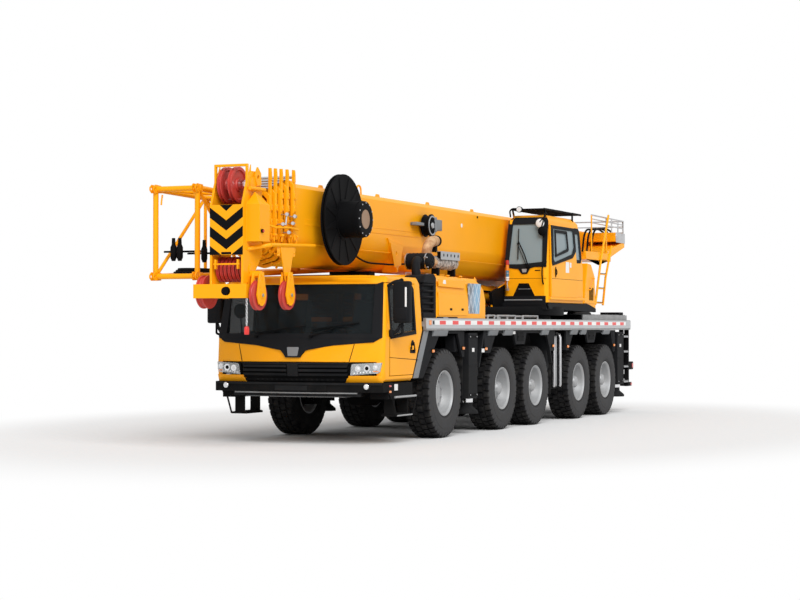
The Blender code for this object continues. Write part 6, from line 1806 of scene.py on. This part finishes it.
TAG_TOP = 1.70
chain = Piece("tag_chain", STEEL)
for i in range(13):
    link(chain, (4.40, 0.285, 2.085 - 0.030 * i), i % 2 == 1)
chain.use(STRIPE_RED)
chain.slab(
    [
        (4.375, TAG_TOP), (4.425, TAG_TOP), (4.44, TAG_TOP - 0.02), (4.44, TAG_TOP - 0.11), (4.36, TAG_TOP - 0.11),
        (4.36, TAG_TOP - 0.02)
    ],
    "y", 0.265, 0.305, 0.008
)
chain.done("boom_head_section")

# Cable reel: a pressed steel drum of electric cable, its rims double and its discs stiffened by radial ribs, and
# the deep spring housing outside it with a bolted cover. Satin black, with dark grey cable, bare bolts and a
# bronze-coloured plate.
REEL_X, REEL_Z = 2.12, 3.24
REEL = (REEL_X, 0, REEL_Z)
reel = Piece("cable_reel_body", BLACK)
for y in (0.600, 0.645):
    disc = [(y - 0.004, 0.08), (y - 0.004, 0.60), (y - 0.010, 0.625), (y - 0.010, 0.648)]
    disc += [(y + 0.010, 0.648), (y + 0.010, 0.625), (y + 0.004, 0.60), (y + 0.004, 0.08)]
    reel.turned(disc, "y", REEL, 64)
for y in (0.592, 0.652):
    rim = [(y + 0.008 * math.cos(t), 0.650 + 0.009 * math.sin(t)) for t in (math.tau * i / 6 for i in range(6))]
    reel.turned(rim, "y", REEL, 64)
for i in range(12):
    spin = Matrix.Rotation(math.tau * (i + 0.5) / 12, 4, "Y")
    turn = Matrix.Translation(REEL) @ spin @ Matrix.Translation((-REEL_X, 0, -REEL_Z))
    fan = [
        (REEL_X - 0.055, REEL_Z + 0.26), (REEL_X + 0.055, REEL_Z + 0.26), (REEL_X + 0.014, REEL_Z + 0.62),
        (REEL_X - 0.014, REEL_Z + 0.62)
    ]
    reel.slab(fan, "y", 0.645, 0.658, 0.004, turn=turn)
    reel.slab(
        [
            (REEL_X - 0.012, REEL_Z + 0.10), (REEL_X + 0.012, REEL_Z + 0.10), (REEL_X + 0.008, REEL_Z + 0.63),
            (REEL_X - 0.008, REEL_Z + 0.63)
        ],
        "y", 0.588, 0.598, 0.003, turn=turn
    )
housing = [
    (0.652, 0.0), (0.652, 0.295), (0.668, 0.295), (0.668, 0.262), (0.905, 0.262), (0.905, 0.270), (0.930, 0.270),
    (0.930, 0.262)
]
housing += [(0.982, 0.260), (0.992, 0.250), (0.996, 0.225), (0.996, 0.150), (0.990, 0.145), (0.990, 0.0)]
reel.turned(housing, "y", REEL, 64)
reel.use(CHARCOAL)
for i in range(6):
    radius = 0.50 + 0.019 * i
    reel.turned(rise_first(0.606, 0.639, radius - 0.012, radius + 0.008), "y", REEL, 48)
reel.use(STEEL)
for a, b in circle(12, 0.235):
    place = Vector((REEL_X + a, 0.993, REEL_Z + b))
    reel.round(place - Vector((0, 0.004, 0)), place + Vector((0, 0.0065, 0)), 0.012, 0.011, 6)
BRONZE = bright("bronze_plate", (0.36, 0.23, 0.15), 0.45)
reel.use(BRONZE)
reel.turned([(0.988, 0.0), (0.988, 0.140), (0.993, 0.138), (0.995, 0.120), (0.993, 0.105), (0.993, 0.0)], "y", REEL, 48)
reel.done("cable_reel", "frame_black", ("cable_reel",))

# Length sensor: a ribbed black spool with a bright ring, its grey box and its arm, bolted to the boom's side.
SPOOL = (-1.32, 0, 3.33)
sensor = Piece("length_sensor_body", BLACK)
sensor.turned(
    [
        (0.462, 0.0), (0.462, 0.150), (0.470, 0.182), (0.482, 0.184), (0.490, 0.160), (0.560, 0.158),
        (0.568, 0.182), (0.590, 0.184), (0.598, 0.172), (0.598, 0.0)
    ],
    "y", SPOOL, 48,
)
for a, b in circle(10, 0.095):
    sensor.ball((SPOOL[0] + a, 0.602, SPOOL[2] + b), 0.020, (1, 0.3, 1), 10)
sensor.use(SILVER)
sensor.turned([(0.594, 0.135), (0.594, 0.160), (0.604, 0.158), (0.604, 0.137)], "y", SPOOL, 48)
sensor.turned([(0.594, 0.0), (0.594, 0.050), (0.612, 0.044), (0.612, 0.0)], "y", SPOOL, 24)
sensor.use(GREY)
sensor.block((-1.74, -1.45), (0.45, 0.60), (3.26, 3.44), 0.012, steps=2)
sensor.block((-1.47, -1.40), (0.43, 0.62), (3.23, 3.47), 0.006)
sensor.block((-1.34, -0.80), (0.432, 0.46), (3.32, 3.36), 0.004)
sensor.block((-1.10, -0.80), (0.44, 0.55), (3.315, 3.365), 0.006)
sensor.nuts(
    [(-1.69, 0.60, 3.29), (-1.69, 0.60, 3.41), (-1.50, 0.60, 3.29), (-1.50, 0.60, 3.41)], (0, 1, 0), 0.010, 0.006
)
sensor.done("boom", "frame_black", ("length_sensor",))


# Folding jib: a tapered lattice of round tube in gloss yellow, its ends bored lugs, with a coil of hose and
# three hook weights on two bars carried inside it.
def jib_corner(share, right, top):
    foot = (4.14, -1.28 if right else -0.62, 3.60 if top else 2.39)
    tip = (-5.10, -1.02 if right else -0.60, 3.36 if top else 2.84)
    return Vector(a + (b - a) * share for a, b in zip(foot, tip))


JIB_BAYS = 7
jib = Piece("jib_lattice", YELLOW)
corners = rise_first(False, True, False, True)
for right, top in corners:
    jib.round(jib_corner(0, right, top), jib_corner(1, right, top), 0.042, sides=14)
for bay in range(JIB_BAYS + 1):
    share = bay / JIB_BAYS
    for near, far in zip(corners, corners[1:] + corners[:1]):
        end = bay in (0, JIB_BAYS)
        jib.round(jib_corner(share, *near), jib_corner(share, *far), 0.038 if end else 0.024, sides=12)
        if bay < JIB_BAYS:
            first, second = (near, far) if bay % 2 else (far, near)
            jib.round(jib_corner(share, *first), jib_corner((bay + 1) / JIB_BAYS, *second), 0.024, sides=10)
for right, top in corners:
    x, y, z = jib_corner(0, right, top)
    for dy in (-0.036, 0.024):
        jib.plate(
            [
                (x - 0.09, z - 0.052), (x + 0.07, z - 0.06), (x + 0.118, z - 0.02), (x + 0.118, z + 0.02),
                (x + 0.07, z + 0.06), (x - 0.09, z + 0.052)
            ],
            [(x + 0.075, z, 0.020)], "y", y + dy, y + dy + 0.014, 0.002,
        )
    jib.block((x - 0.07, x + 0.012), (y - 0.045, y + 0.045), (z - 0.045, z + 0.045), 0.01)
    x, y, z = jib_corner(1, right, top)
    jib.plate(
        flat_first(x - 0.05, x + 0.08, z - 0.045, z + 0.045), [(x - 0.012, z, 0.014)], "y", y - 0.008, y + 0.008,
        0.002
    )
for x in (1.30, -3.60):
    share = (4.14 - x) / (4.14 + 5.10)
    low, high = jib_corner(share, False, False), jib_corner(share, False, True)
    jib.block((x - 0.05, x + 0.05), (low.y - 0.02, -0.491), (low.z, high.z), 0.010)
    jib.block((x - 0.07, x + 0.07), (-0.56, -0.492), (3.02, 3.12), 0.008)
jib.hose([(4.10, -1.20, 3.52), (4.12, -1.20, 3.44), (4.13, -1.20, 3.38)], 0.012, True, 4)
jib.use(BLACK)
for turn in range(3):
    coil = [
        (3.62 + (0.40 - 0.03 * turn) * math.cos(t), -0.94 + (0.26 - 0.03 * turn) * math.sin(t))
        for t in (math.tau * i / 16 for i in range(17))
    ]
    jib.hose([(x, y, 2.452 + 0.024 * turn) for x, y in coil], 0.013, True, 4)
for x, y in ((3.93, -1.12), (3.93, -1.02), (3.28, -1.00)):
    jib.turned(
        [(-0.17, 0.0), (-0.17, 0.025), (-0.12, 0.045), (0.02, 0.045), (0.06, 0.028), (0.15, 0.024), (0.15, 0.0)],
        "z", (x, y, 2.78), 16
    )
for x in (3.93, 3.28):
    jib.hose([(x, -1.27, 2.74), (x, -0.63, 2.74)], 0.014, False, 4)
jib.done("boom", "crane_yellow", ("folding_jib",))
